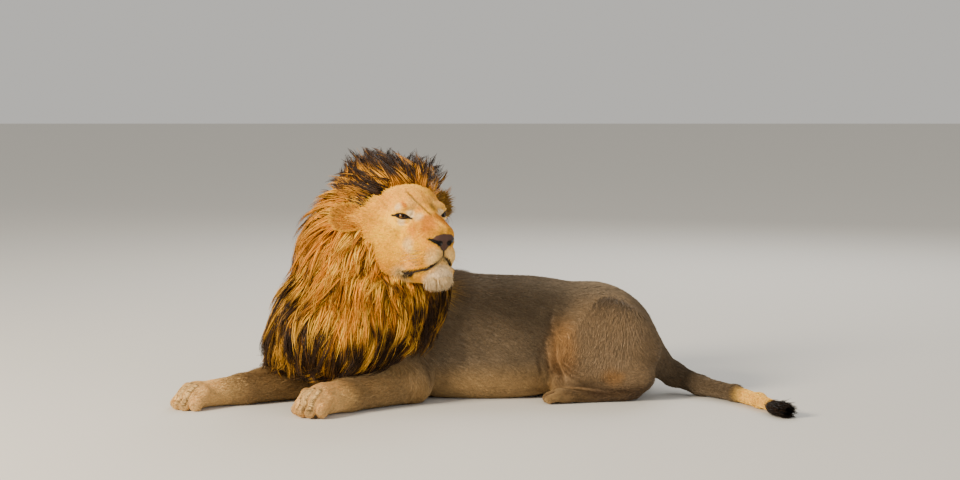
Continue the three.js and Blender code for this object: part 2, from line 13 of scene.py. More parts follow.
import bpy
import numpy as np
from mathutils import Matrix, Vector


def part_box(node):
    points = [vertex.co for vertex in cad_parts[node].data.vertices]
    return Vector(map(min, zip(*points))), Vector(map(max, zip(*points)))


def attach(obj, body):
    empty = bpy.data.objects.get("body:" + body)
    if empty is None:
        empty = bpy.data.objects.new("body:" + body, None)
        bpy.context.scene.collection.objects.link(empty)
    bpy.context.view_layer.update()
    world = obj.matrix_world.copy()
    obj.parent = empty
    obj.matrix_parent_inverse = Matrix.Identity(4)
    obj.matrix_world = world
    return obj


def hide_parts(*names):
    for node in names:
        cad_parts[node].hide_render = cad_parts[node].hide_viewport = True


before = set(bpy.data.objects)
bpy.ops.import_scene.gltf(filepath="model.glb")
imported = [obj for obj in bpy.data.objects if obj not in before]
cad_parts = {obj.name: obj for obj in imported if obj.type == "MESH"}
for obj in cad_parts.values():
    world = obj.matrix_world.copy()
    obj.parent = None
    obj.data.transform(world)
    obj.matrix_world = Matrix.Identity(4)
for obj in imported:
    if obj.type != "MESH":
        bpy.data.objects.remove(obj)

log = logging.getLogger("lion")
Array = np.ndarray
Point = Sequence[float]
METRES = 0.001
FAR = 70.0  # distances past this are not worked out
LEAP = 12.0  # the furthest that a point is moved at once towards a surface
SIDES = (-1.0, 1.0)  # right and left, along Y of the head's axes
TURN = 2 * math.pi


def unit(vectors: Array) -> Array:
    """Args: vectors: any number. Returns: them at length 1."""
    return vectors / (np.linalg.norm(vectors, axis=-1, keepdims=True) + 1e-9)


def amount(full: int) -> int:
    """Args: full: a number of hairs."""
    return full


def falloff(distance: Array, inner: float, outer: float) -> Array:
    """Args: distance: N values. inner, outer: limits. Returns: 1 up to inner, smoothly down to 0 at outer."""
    share = np.clip((distance - inner) / (outer - inner), 0, 1)
    return 1 - share * share * (3 - 2 * share)


def away_from(points: Array, *spots: Point) -> Array:
    """Args: points: N x 3. spots: some places. Returns: N distances to the nearest of them."""
    return np.min([np.linalg.norm(points - np.array(spot), axis=1) for spot in spots], axis=0)


def beside(points: Array, start: Array, axis: Array, low: float = 0.0) -> tuple[Array, Array]:
    """Args: points: N x 3. start, axis: of a stretch. low: least share. Returns: shares of it, distances."""
    away = points - start
    along = np.clip(away @ axis / (axis @ axis), low, 1)
    return along, np.linalg.norm(away - along[:, None] * axis, axis=1)


# ---------------------------------------------------------------- frames and fields


@dataclass(frozen=True)
class Axes:
    """Axes turned by yaw about Z, then pitched up, then rolled: columns forward, left, up."""

    origin: Point = (0.0, 0.0, 0.0)
    yaw: float = 0.0
    pitch: float = 0.0
    roll: float = 0.0

    @property
    def matrix(self) -> Array:
        """Returns: the three axes as the columns of a rotation."""
        found = np.eye(3)
        for degrees, i, j in ((self.yaw, 0, 1), (-self.pitch, 2, 0), (self.roll, 1, 2)):
            turn = np.eye(3)
            turn[i, i] = turn[j, j] = math.cos(math.radians(degrees))
            turn[j, i] = math.sin(math.radians(degrees))
            turn[i, j] = -turn[j, i]
            found = found @ turn
        return found

    def inside(self, points: Array, pair: bool = False) -> Array:
        """Args: points: in the outer axes. pair: lay the right half on the left. Returns: them in these."""
        found = (points - np.array(self.origin)) @ self.matrix
        if pair:
            found[:, 1] = np.abs(found[:, 1])
        return found

    def turned(self, vectors: Array) -> Array:
        """Args: vectors: in these axes. Returns: the same directions in the outer axes."""
        return np.asarray(vectors, float) @ self.matrix.T

    def outside(self, points: Array) -> Array:
        """Args: points: in these axes. Returns: the same points in the outer axes."""
        return self.turned(points) + np.array(self.origin)


class Field:
    """A rough signed distance in millimetres, negative inside, with a ball that holds all of its inside."""

    centre: Array
    reach: float

    def distance(self, points: Array) -> Array:
        """Args: points: N x 3. Returns: N distances."""
        raise NotImplementedError

    def near(self, points: Array, room: float) -> Array:
        """Args: points: N x 3. room: added round the ball. Returns: the numbers of the points in it."""
        return np.flatnonzero(((points - self.centre) ** 2).sum(-1) < (self.reach + room) ** 2)


class Ellipsoid(Field):
    """A stretched ball: its distance is near * (near - 1) over the length of the scaled gradient."""

    def __init__(self, centre: Point, radii: Point, yaw: float = 0.0, pitch: float = 0.0) -> None:
        """Args: centre: middle. radii: half lengths. yaw, pitch: its turn in degrees."""
        self.centre, self.radii = np.array(centre, float), np.array(radii, float)
        self.axes = Axes((0, 0, 0), yaw, pitch).matrix
        self.reach = float(self.radii.max())

    def distance(self, points: Array) -> Array:
        """Args: points: N x 3. Returns: N distances."""
        scaled = ((points - self.centre) @ self.axes) / self.radii
        near = np.sqrt((scaled**2).sum(-1))
        return near * (near - 1.0) / (np.sqrt(((scaled / self.radii) ** 2).sum(-1)) + 1e-9)


class Limb(Field):
    """A rod between two joints whose radius changes evenly: distance to the axis less the radius there."""

    def __init__(self, start: Point, end: Point, start_radius: float, end_radius: float) -> None:
        """Args: start, end: joints. start_radius, end_radius: radii at them."""
        self.start = np.array(start, float)
        self.axis = np.array(end, float) - self.start
        self.radii = (start_radius, end_radius)
        self.centre = self.start + self.axis / 2
        self.reach = float(np.linalg.norm(self.axis) / 2 + max(self.radii))

    def distance(self, points: Array) -> Array:
        """Args: points: N x 3. Returns: N distances."""
        along, away = beside(points, self.start, self.axis)
        return away - (self.radii[0] + (self.radii[1] - self.radii[0]) * along)


class Almond(Field):
    """The opening between two lids: a prism along +X whose section is where two circles overlap."""

    HALF_LENGTH = 22.0
    EDGES = ((6.0, 1.0), (6.2, -1.0))  # the upper and lower lid's height from Z = 0 and its side
    DEPTH = 60.0

    def __init__(self, ball: float = 0.0) -> None:
        """Args: ball: radius round the origin that the opening leaves whole."""
        self.ball, self.centre, self.reach = ball, np.zeros(3), self.DEPTH + self.HALF_LENGTH
        self.circles = []
        for height, side in self.EDGES:
            radius = (self.HALF_LENGTH**2 + height**2) / (2 * height)
            self.circles.append((side * (height - radius), radius))

    def distance(self, points: Array) -> Array:
        """Args: points: N x 3. Returns: N distances."""
        rounds = [np.hypot(points[:, 1], points[:, 2] - z) - radius for z, radius in self.circles]
        off_ball = self.ball - np.sqrt((points**2).sum(-1)) * np.sign(points[:, 0])
        return np.maximum(np.maximum(*rounds), off_ball)


class Placed(Field):
    """A field given in axes of its own, mirrored from left to right where it is one of a pair."""

    def __init__(self, inner: Field, axes: Axes = Axes(), pair: bool = False) -> None:
        """Args: inner: the field in those axes. axes: where they lie. pair: mirror it at their Y = 0."""
        self.inner, self.axes, self.pair = inner, axes, pair
        self.centre = axes.outside(inner.centre * [1, not pair, 1])
        self.reach = inner.reach + pair * abs(float(inner.centre[1]))

    def distance(self, points: Array) -> Array:
        """Args: points: N x 3. Returns: N distances."""
        return self.inner.distance(self.axes.inside(points, self.pair))


Members = list[tuple[Field, float]]


def soft_least(first: Array, second: Array, width: float) -> Array:
    """Args: first, second: distances. width: of the edge. Returns: the lesser, sunk where they are close."""
    overlap = np.maximum(width - np.abs(first - second), 0) / width
    return np.minimum(first, second) - overlap**2 * width * 0.25


class Melt(Field):
    """Fields joined one after another, each with a soft edge of its own width."""

    def __init__(self, *members: tuple[Field, float], floor: float = -math.inf) -> None:
        """Args: members: each a field and the width that it is joined with. floor: height it is cut at."""
        self.members, self.floor = list(members), floor
        centres = np.array([m.centre for m, _ in members])
        self.centre = (centres.min(0) + centres.max(0)) / 2
        self.reach = max(float(np.linalg.norm(m.centre - self.centre)) + m.reach for m, _ in members)

    def distance(self, points: Array) -> Array:
        """Args: points: N x 3. Returns: N distances, no more than FAR."""
        found = np.full(len(points), FAR)
        for member, width in self.members:
            near = member.near(points, FAR)
            if len(near):
                found[near] = soft_least(found[near], member.distance(points[near]), width)
        return np.maximum(found, self.floor - points[:, 2])


class Reworked(Field):
    """A field made from another one's distances."""

    def __init__(self, body: Field, *tools: object) -> None:
        """Args: body: the field. tools: what it is changed with."""
        self.body, self.tools, self.centre, self.reach = body, tools, body.centre, body.reach


class Scooped(Reworked):
    """A field hollowed out by its tools: fields, each with the softness of the edge that it leaves."""

    ROOM = 20.0  # how far round a hollow its edge is felt

    def distance(self, points: Array) -> Array:
        """Args: points: N x 3. Returns: N distances."""
        found = self.body.distance(points)
        for hollow, width in self.tools:
            near = hollow.near(points, self.ROOM)
            if len(near):
                found[near] = -soft_least(-found[near], hollow.distance(points[near]), width)
        return found


class Creased(Reworked):
    """A field with its tools, which are creases, pressed into it."""

    BAND = 25.0  # distance from the surface within which creases are worked out

    def distance(self, points: Array) -> Array:
        """Args: points: N x 3. Returns: N distances."""
        found = self.body.distance(points)
        near = np.flatnonzero(np.abs(found) < self.BAND)
        close = points[near]
        for crease in self.tools:
            found[near] += crease.depth * crease.strength(close)
        return found


class Deepened(Reworked):
    """A field moved inwards by its tool, a function that gives a depth at N points."""

    def distance(self, points: Array) -> Array:
        """Args: points: N x 3. Returns: N distances."""
        found = self.body.distance(points)
        near = np.flatnonzero(found < FAR * 0.9)
        found[near] += self.tools[0](points[near])
        return found


@dataclass
class Crease:
    """A groove along a line, or a ridge if its depth is negative: depth * exp(-(away / width) squared)."""

    line: Sequence[Point]
    width: float
    depth: float
    axes: Axes = Axes()
    pair: bool = False

    def __post_init__(self) -> None:
        """Rounds the line off by Catmull-Rom, six steps between two knots, and finds the ball around it."""
        knots = np.array(self.line, float)
        padded = np.vstack([2 * knots[0] - knots[1], knots, 2 * knots[-1] - knots[-2]])
        t = np.linspace(0, 1, 6, endpoint=False)[:, None]
        curves = [
            0.5 * (2 * b + (c - a) * t + (2 * a - 5 * b + 4 * c - d) * t**2 + (3 * b - a - 3 * c + d) * t**3)
            for a, b, c, d in zip(padded, padded[1:], padded[2:], padded[3:])
        ]
        self.dots = np.vstack([*curves, knots[-1:]])
        self.middle = self.dots.mean(0)
        self.room = float(away_from(self.dots, self.middle).max()) + 3 * self.width

    def laid_on(self, shape: Field) -> "Crease":
        """Args: shape: a smooth field. Returns: the crease, with its line moved onto the field's surface."""
        self.dots = self.axes.inside(settle(shape, self.axes.outside(self.dots), rounds=4))
        return self

    def strength(self, points: Array, width: float | None = None) -> Array:
        """Args: points: N x 3. width: another to use. Returns: 1 on the line, falling to 0 beside it."""
        width = width or self.width
        found = np.zeros(len(points))
        local = self.axes.inside(points, self.pair)
        near = np.flatnonzero(((local - self.middle) ** 2).sum(-1) < (self.room + 3 * width) ** 2)
        if len(near):
            best, share, close = np.full(len(near), 1e9), np.zeros(len(near)), local[near]
            for i, (start, end) in enumerate(zip(self.dots, self.dots[1:])):
                along, away = beside(close, start, end - start)
                better = away < best
                best[better] = away[better]
                share[better] = (i + along[better]) / (len(self.dots) - 1)
            ends = np.clip(np.minimum(share, 1 - share) * 6 + 0.35, 0, 1)
            found[near] = np.exp(-((best / width) ** 2)) * ends
        return found


def gradient(shape: Field, points: Array, step: float = 0.6) -> Array:
    """Args: shape: a field. points: N x 3. step: to the samples. Returns: unit directions of growth."""
    corners = np.array([[1, -1, -1], [-1, -1, 1], [-1, 1, -1], [1, 1, 1]], float)
    return unit(sum(corner * shape.distance(points + corner * step)[:, None] for corner in corners))


def settle(shape: Field, points: Array, level: float = 0.0, rounds: int = 2) -> Array:
    """Args: shape: a field. points: N x 3. level: distance wanted. rounds: steps. Returns: them, moved."""
    for _ in range(rounds):
        off = np.clip(shape.distance(points) - level, -LEAP, LEAP)
        points = points - off[:, None] * gradient(shape, points)
    return points


# ---------------------------------------------------------------- anatomy


@dataclass(frozen=True)
class Head:
    """The head in its own axes: X out of the face, Y to the lion's left, Z up, from between the eyes."""

    axes: Axes = Axes((-196.0, -280.0, 643.0), -58.0, 8.0)
    eye_radius: float = 23.0

    EYE_SIDE = 68.0
    EAR_RISE = {-1.0: 8.0, 1.0: 40.0}  # how high each side's ear stands

    def eye(self, side: float) -> Array:
        """Args: side: 1 for the left eye, -1 for the right. Returns: its middle in the lion's axes."""
        return self.axes.outside([-4.0, side * self.EYE_SIDE, -2.0])

    def eye_axes(self, side: float) -> Axes:
        """Args: side: 1 for the left eye, -1 for the right. Returns: axes at the ball, X along its gaze."""
        return Axes(tuple(self.eye(side)), self.axes.yaw + side * 38.0, self.axes.pitch - 2.0, side * 9.0)

    def flesh(self) -> Members:
        """Returns: the head's muscles and bones, each with the width of its soft edge."""
        rows = [
            (False, 50, Ellipsoid((-125, 0, 5), (150, 123, 98))),
            (False, 40, Ellipsoid((-64, 0, 30), (86, 88, 63))),
            (True, 20, Ellipsoid((0, 58, 25), (33, 34, 18))),
            (True, 24, Limb((-24, 25, -6), (104, 22, -73), 46, 33)),
            (True, 30, Ellipsoid((8, 46, -96), (78, 42, 64))),
            (True, 30, Limb((-140, 96, -48), (-28, 74, -44), 40, 27)),
            (True, 40, Ellipsoid((-95, 72, -112), (78, 46, 78))),
            (False, 20, Limb((0, 0, 6), (108, 0, -69), 40, 32)),
            (False, 30, Ellipsoid((46, 0, -120), (86, 58, 60))),
            (True, 14, Ellipsoid((80, 27, -140), (54, 34, 42))),
            (False, 14, Limb((120, -22, -94), (120, 22, -94), 22, 22)),
            (True, 30, Limb((-100, 56, -160), (70, 28, -200), 40, 33)),
            (False, 20, Ellipsoid((80, 0, -203), (46, 41, 34))),
        ]
        for side, rise in self.EAR_RISE.items():
            rows.append((False, 30, Limb((-168, side * 96, 14), (-188, side * 150, rise), 44, 26)))
        return [(Placed(shape, self.axes, pair), width) for pair, width, shape in rows]


@dataclass(frozen=True)
class Foreleg:
    """One foreleg, by its joints, from the shoulder to the middle of the paw."""

    shoulder: Point
    elbow: Point
    wrist: Point
    knuckles: Point
    paw: Point
    paw_yaw: float
    radii: Point

    @property
    def paw_axes(self) -> Axes:
        """Returns: axes at the paw, X towards the toes."""
        return Axes(self.paw, self.paw_yaw)

    def flesh(self) -> Members:
        """Returns: the leg's muscles, its paw and four toes spread over the paw's front."""
        elbow, wrist, knuckles = self.radii
        found = [
            (Limb(self.shoulder, self.elbow, 86, elbow), 30),
            (Limb(self.elbow, self.wrist, elbow, wrist), 30),
            (Limb(self.wrist, self.knuckles, wrist, knuckles), 20),
            (Ellipsoid(self.paw, (76, 62, 47), self.paw_yaw), 20),
        ]
        for side, reach in ((-50, -20), (-17, 0), (17, 0), (50, -20)):
            toe = Limb((reach + 24, side * 0.84, 14), (reach + 70, side, -26), 24, 21)
            found.append((Placed(toe, self.paw_axes), 5))
        return found


@dataclass(frozen=True)
class Lion:
    """The whole animal's anatomy; each point of the tail's line, from rump to brush, has its radius."""

    head: Head = Head()
    left: Foreleg = Foreleg(
        (-355, -195, 200), (-240, -208, 72), (-430, -375, 52), (-500, -430, 52), (-527, -450, 49),
        238, (76, 54, 51),
    )
    right: Foreleg = Foreleg(
        (-440, 20, 200), (-510, -60, 76), (-800, -238, 50), (-885, -278, 46), (-944, -304, 42),
        228, (80, 53, 46),
    )
    tail: tuple = (
        (540, 0, 165, 72), (600, -4, 118, 56), (672, -18, 68, 43), (760, -75, 36, 35),
        (865, -190, 28, 29), (930, -315, 25, 25), (962, -408, 23, 22),
    )

    def trunk(self) -> Members:
        """Returns: ribs, belly, back, hips, breast, shoulder blades and neck."""
        return [
            (Ellipsoid((-120, -30, 205), (300, 165, 208), 12), 60),
            (Ellipsoid((140, 0, 195), (300, 178, 206)), 60),
            (Placed(Ellipsoid((10, 100, 74), (262, 84, 80)), pair=True), 60),
            (Limb((-150, -10, 303), (370, 0, 272), 112, 108), 60),
            (Ellipsoid((430, 0, 235), (180, 130, 138), 0, -20), 50),
            (Limb((430, 0, 245), (560, 0, 150), 108, 76), 50),
            (Ellipsoid((-360, -115, 200), (190, 175, 202), 35), 80),
            (Ellipsoid((-215, -145, 235), (125, 70, 155), 20), 50),
            (Ellipsoid((-370, 60, 235), (125, 70, 155), 45), 50),
            (Limb((-330, -90, 300), (-345, -105, 540), 165, 122), 80),
            (Limb((-345, -105, 540), (-300, -160, 615), 122, 104), 60),
        ]

    def hindlegs(self) -> Members:
        """Returns: both hind legs, folded under the haunches: thigh, knee, shank, hock, paw and toes."""
        shapes = [
            (Ellipsoid((440, 122, 180), (180, 104, 157), 0, -8), 70),
            (Ellipsoid((354, 166, 162), (104, 72, 95)), 50),
            (Limb((356, 178, 120), (545, 174, 78), 62, 50), 40),
            (Limb((300, 140, 40), (500, 150, 50), 56, 60), 30),
            (Limb((500, 184, 20), (340, 212, 24), 22, 25), 8),
            (Ellipsoid((292, 216, 26), (62, 40, 27), -8), 12),
        ]
        for side, reach in ((-27, 8), (-9, 0), (9, 0), (27, 8)):
            toe = Limb((262 + reach, 217 + side, 27), (228 + reach, 220 + side * 1.1, 18), 17, 16)
            shapes.append((toe, 5))
        return [(Placed(shape, pair=True), width) for shape, width in shapes]

    def flesh(self) -> Melt:
        """Returns: all flesh, out to the tips of the short coat, as one field that stands on the floor."""
        tail = [(Limb(a[:3], b[:3], a[3], b[3]), 20) for a, b in zip(self.tail, self.tail[1:])]
        tail[0] = (tail[0][0], 40)
        legs = self.hindlegs() + self.left.flesh() + self.right.flesh()
        return Melt(*self.trunk(), *legs, *tail, *self.head.flesh(), floor=0.0)


# ---------------------------------------------------------------- meshes


@dataclass
class Surface:
    """A triangle mesh as arrays, in millimetres in the lion's axes."""

    points: Array
    faces: Array

    @property
    def middles(self) -> Array:
        """Returns: the middle of each face."""
        return self.points[self.faces].mean(1)

    def normals(self) -> Array:
        """Returns: unit normals at the vertices, each face weighted by its area."""
        a, b, c = self.points[self.faces].swapaxes(0, 1)
        total = np.zeros_like(self.points)
        for i in range(3):
            np.add.at(total, self.faces[:, i], np.cross(b - a, c - a))
        return unit(total)

    def facing(self, picks: Array) -> Array:
        """Args: picks: numbers of faces. Returns: the unit direction that each of them faces."""
        return unit(self.normals()[self.faces[picks]].mean(1))

    def edges(self) -> Array:
        """Returns: each edge once, as its lower and its higher vertex."""
        sides = np.vstack([self.faces[:, [0, 1]], self.faces[:, [1, 2]], self.faces[:, [2, 0]]])
        return np.unique(np.sort(sides, axis=1), axis=0)

    def scattered(self, density: Array, count: int, rng: np.random.Generator) -> tuple[Array, Array]:
        """Picks random places, more where the surface is dense.

        Args:
            density: one weight for each face.
            count: how many places.
            rng: the source of chance.

        Returns:
            The places and the faces they lie on.
        """
        a, b, c = self.points[self.faces].swapaxes(0, 1)
        running = np.cumsum(np.linalg.norm(np.cross(b - a, c - a), axis=1) * density)
        picks = np.searchsorted(running, (np.arange(count) + rng.uniform(size=count)) / count * running[-1])
        picks = np.minimum(picks, len(self.faces) - 1)
        u, v = rng.uniform(size=(2, count, 1))
        flip = (u + v) > 1
        u, v = np.where(flip, 1 - u, u), np.where(flip, 1 - v, v)
        return a[picks] + u * (b - a)[picks] + v * (c - a)[picks], picks


def first_surface(shape: Field, low: Point, high: Point, cell: float) -> Surface:
    """A closed surface through a field's zeros, by one vertex in each grid cell that the surface crosses.

    Args:
        shape: the field.
        low, high: corners of the box that holds its inside.
        cell: grid spacing.

    Returns:
        The surface, its faces outwards.
    """
    coarse = 4  # cells across one of the rough grid that tells where the surface is near
    count = np.ceil((np.array(high) - low) / (cell * coarse)).astype(int) * coarse + 1
    marks = (low[i] + cell * np.arange(0, count[i], coarse) for i in range(3))
    rough = np.stack(np.meshgrid(*marks, indexing="ij"), -1)
    rough_values = shape.distance(rough.reshape(-1, 3)).reshape(rough.shape[:3])
    values = rough_values[np.ix_(*(np.round(np.arange(n) / coarse).astype(int) for n in count))]
    close = np.argwhere(np.abs(values) < 1.2 * cell * coarse)
    values[tuple(close.T)] = shape.distance(np.array(low) + close * cell)
    inside = values < 0
    corners = np.array([(i, j, k) for i in (0, 1) for j in (0, 1) for k in (0, 1)])
    windows = (inside[tuple(slice(c, n - 1 + c) for c, n in zip(corner, count))] for corner in corners)
    held = sum(window.astype(int) for window in windows)
    cells = np.argwhere((held > 0) & (held < 8))
    steps = np.eye(3, dtype=int)
    total, crossings = np.zeros((len(cells), 3)), np.zeros(len(cells))
    for corner in corners:
        for axis in np.flatnonzero(corner == 0):
            first, second = (values[tuple((cells + end).T)] for end in (corner, corner + steps[axis]))
            crossed = (first < 0) != (second < 0)
            share = np.where(crossed, first / np.where(crossed, first - second, 1), 0)
            total += (corner + share[:, None] * steps[axis]) * crossed[:, None]
            crossings += crossed
    index = np.full(count, -1)
    index[tuple(cells.T)] = np.arange(len(cells))
    quads = []
    for axis in range(3):
        side, up = steps[(axis + 1) % 3], steps[(axis + 2) % 3]
        beyond = inside[tuple(slice(1 + s, n - 1 + s) for s, n in zip(steps[axis], count))]
        spots = np.argwhere(inside[1:-1, 1:-1, 1:-1] != beyond) + 1
        ring = np.stack([index[tuple((spots - o).T)] for o in (0 * side, side, side + up, up)], 1)
        leaving = inside[tuple(spots.T)]
        ring[~leaving] = ring[~leaving][:, ::-1]
        quads.append(ring)
    quads = np.vstack(quads)
    points = np.array(low) + (cells + total / crossings[:, None]) * cell
    return Surface(points, np.vstack([quads[:, [0, 1, 2]], quads[:, [0, 2, 3]]]))


def split_long_edges(mesh: Surface, wanted: Callable[[Array], Array]) -> Surface:
    """Splits each edge that is longer than wanted there, and the triangles beside it, in one pass.

    Args:
        mesh: the surface.
        wanted: gives the longest edge that is allowed at each of N points.

    Returns:
        The finer surface.
    """
    count, edges = len(mesh.points), mesh.edges()
    ends = mesh.points[edges]
    middles = ends.mean(1)
    long = np.linalg.norm(ends[:, 0] - ends[:, 1], axis=1) > wanted(middles)
    fresh = np.full(len(edges), -1)
    fresh[long] = count + np.arange(long.sum())
    sides = np.sort(np.stack([mesh.faces, np.roll(mesh.faces, -1, axis=1)], -1), axis=-1)
    halves = fresh[np.searchsorted(edges @ [count, 1], sides @ [count, 1])]
    split = halves >= 0
    faces = [mesh.faces[split.sum(1) == 0]]
    for turn in range(3):
        turned = (np.roll(values, -turn, axis=1).T for values in (mesh.faces, halves, split))
        (a, b, c), (ab, bc, _), (sa, sb, sc) = turned
        one, two = ((a, ab, c), (ab, b, c)), ((ab, b, bc), (a, ab, bc), (a, bc, c))
        faces += [np.stack(ring, 1)[sa & ~sb & ~sc] for ring in one]
        faces += [np.stack(ring, 1)[sa & sb & ~sc] for ring in two]
    (a, b, c), (ab, bc, ca) = mesh.faces.T, halves.T
    every = split.all(1)
    faces += [np.stack(ring, 1)[every] for ring in ((a, ab, ca), (ab, b, bc), (ca, bc, c), (ab, bc, ca))]
    return Surface(np.vstack([mesh.points, middles[long]]), np.vstack(faces))


def relax(mesh: Surface, shape: Field, share: float, rounds: int) -> Surface:
    """Evens the mesh out: each vertex moves towards the mean of its neighbours, then back to the surface.

    Args:
        mesh: the surface.
        shape: the field whose zeros it follows.
        share: how far of the way to the mean.
        rounds: how many times.

    Returns:
        The evened surface.
    """
    points, edges = mesh.points, mesh.edges()
    count = np.bincount(edges.ravel(), minlength=len(points))
    for _ in range(rounds):
        total = np.zeros_like(points)
        for a, b in ((0, 1), (1, 0)):
            np.add.at(total, edges[:, a], points[edges[:, b]])
        points = points + share * (total / np.maximum(count, 1)[:, None] - points)
        points = settle(shape, points, rounds=1)
    return Surface(points, mesh.faces)


def ball_faces(rows: int, around: int) -> Array:
    """Args: rows, around: a grid that closes round itself, two end points after it. Returns: its faces."""
    i, j = np.meshgrid(np.arange(rows - 1), np.arange(around), indexing="ij")
    a, b = (i * around + j).ravel(), (i * around + (j + 1) % around).ravel()
    ring = np.arange(around)
    after, end = np.roll(ring, -1), (rows - 1) * around
    first, last = (np.full(around, rows * around + i) for i in (0, 1))
    stacks = (
        (a, b + around, b), (a, a + around, b + around),
        (ring, after, first), (end + after, end + ring, last),
    )
    return np.vstack([np.stack(stack, 1) for stack in stacks])


# ---------------------------------------------------------------- skin


@dataclass
class SkinField(Field):
    """The bare skin: the flesh less the coat's depth, with lids, nostrils, lips, toes and folds worked in."""

    lion: Lion

    BODY_DEPTH, LEG_DEPTH, PAW_DEPTH, FACE_DEPTH, NOSE_DEPTH = 7.0, 5.0, 2.6, 3.0, 0.8
    LID_RADIUS = 29.5
    GROUND = 0.5
    LOW, HIGH, CELL = (-1060, -560, -36), (1100, 300, 800), 12.0  # the first grid's corners and spacing
    HIND_PAWS = ((270, 216, 28), (270, -216, 28))

    def __post_init__(self) -> None:
        """Puts the lids on the flesh, cuts the openings and presses the folds in."""
        head = self.lion.head
        members, hollows = self.lion.flesh().members, []
        for side in SIDES:
            eye = head.eye_axes(side)
            members += [
                (Ellipsoid(eye.outside([-1.0, 0, 0]), (self.LID_RADIUS,) * 3), 20),
                (Placed(Limb((20, -20, 15), (19, 24, 14), 8.5, 7.5), eye), 8),
                (Placed(Limb((19, -20, -15), (18, 22, -14), 6.5, 6), eye), 8),
            ]
            hollows += [
                (Placed(Almond(head.eye_radius - 4), eye), 1.5),
                (Placed(Ellipsoid((142, side * 18, -103), (14, 8, 6.5)), head.axes), 3),
                (Placed(Limb((143, side * 22, -103), (124, side * 45, -87), 4.2, 2.2), head.axes), 2),
            ]
        self.flesh = Melt(*members)
        self.centre, self.reach = self.flesh.centre, self.flesh.reach
        smooth = Deepened(self.flesh, self.depth)
        groups = (self.face_folds(), self.body_folds(), self.gaps())
        face, body, self.toe_gaps = ([crease.laid_on(smooth) for crease in folds] for folds in groups)
        self.mouth, self.philtrum, self.nose_wing, self.forehead_line = face[0], face[1], face[5], face[7]
        self.wrinkles = body[:7] + body[10:]
        self.worked = Creased(Scooped(smooth, *hollows), *face, *body, *self.toe_gaps)

    def face_folds(self) -> list[Crease]:
        """Returns: mouth, philtrum, tear groove, lids' folds, nose wing, cheek, forehead, lip and temple."""
        mouth = [
            (133, 0, -156), (126, 18, -164), (110, 35, -174), (84, 46, -184), (40, 54, -188), (-8, 60, -184),
            (-36, 63, -176),
        ]
        rows = [
            (4.6, 8.0, mouth),
            (3.0, 4.0, [(146, 0, -100), (142, 0, -116), (141, 0, -130), (138, 0, -145), (134, 0, -157)]),
            (5.0, 3.0, [(18, 53, -12), (32, 45, -27), (50, 39, -44)]),
            (4.0, 1.6, [(24, 60, -24), (6, 84, -27), (-26, 96, -14)]),
            (4.0, 1.6, [(20, 52, 12), (4, 80, 19), (-26, 94, 14)]),
            (4.5, 6.0, [(144, 14, -104), (142, 27, -101), (134, 38, -94), (122, 46, -86)]),
            (15.0, 6.0, [(44, 52, -64), (34, 64, -92), (16, 72, -126), (-6, 74, -160)]),
            (6.0, 2.4, [(-12, -40, 81), (22, -30, 48), (43, -14, 24), (65, -9, 6), (84, -2, -9)]),
            (6.0, -4.0, [(118, 24, -180), (84, 40, -194), (40, 48, -198), (0, 56, -196)]),
            (26.0, 6.0, [(-30, 104, 22), (-70, 116, 40), (-110, 112, 60)]),
            (20.0, 5.0, [(10, 62, -62), (-30, 92, -84), (-80, 112, -86)]),
        ]
        axes = self.lion.head.axes
        return [Crease(line, width, depth, axes, line[0][1] >= 0) for width, depth, line in rows]

    def body_folds(self) -> list[Crease]:
        """Returns: folds at flank, knee and near elbow, and hollows of haunch, shoulder and belly."""
        rows = [
            (13.0, 12.0, [(240, 168, 330), (232, 186, 250), (240, 196, 180), (262, 200, 90), (262, 190, 40)]),
            (7.0, 5.0, [(222, 180, 250), (214, 184, 170), (232, 176, 90)]),
            (6.0, 4.0, [(204, 182, 220), (196, 184, 150), (212, 176, 84)]),
            (7.0, 5.0, [(262, 222, 126), (300, 240, 96), (352, 244, 84)]),
            (7.0, 4.0, [(270, 226, 150), (310, 240, 122), (366, 244, 108)]),
            (6.0, 3.0, [(280, 230, 172), (316, 240, 146), (350, 242, 136)]),
            (9.0, 10.0, [(280, 226, 74), (340, 232, 56), (420, 226, 38), (520, 214, 28)]),
            (26.0, 5.0, [(560, 200, 250), (590, 190, 170), (590, 186, 110)]),
            (24.0, 5.0, [(-120, 200, 300), (-60, 216, 200), (-70, 206, 110)]),
            (20.0, 4.0, [(60, 190, 110), (140, 186, 70), (220, 176, 60)]),
            (12.0, 9.0, [(-196, -226, 250), (-186, -232, 180), (-180, -232, 120), (-182, -226, 60)]),
        ]
        return [Crease(line, width, depth, Axes(), line[0][1] >= 0) for width, depth, line in rows]

    def gaps(self) -> list[Crease]:
        """Returns: the creases between the toes."""
        folds = []
        for leg in (self.lion.left, self.lion.right):
            for side in (-33.5, 0.0, 33.5):
                line = [(14, side * 0.8, 50), (50, side * 0.92, 36), (82, side, 8), (88, side, -26)]
                folds.append(Crease(line, 6.0, 12.0, leg.paw_axes))
        for side in (-18.0, 0.0, 18.0):
            line = [(258, 217 + side, 42), (228, 219 + side, 34), (212, 221 + side * 1.1, 16)]
            folds.append(Crease(line, 4.5, 5.0, Axes(), True))
        return folds

    def between_toes(self, points: Array, width: float | None = None) -> Array:
        """Args: points: N x 3. width: another to use. Returns: 1 between the toes, falling to 0 beside."""
        return np.max([fold.strength(points, width) for fold in self.toe_gaps], axis=0)

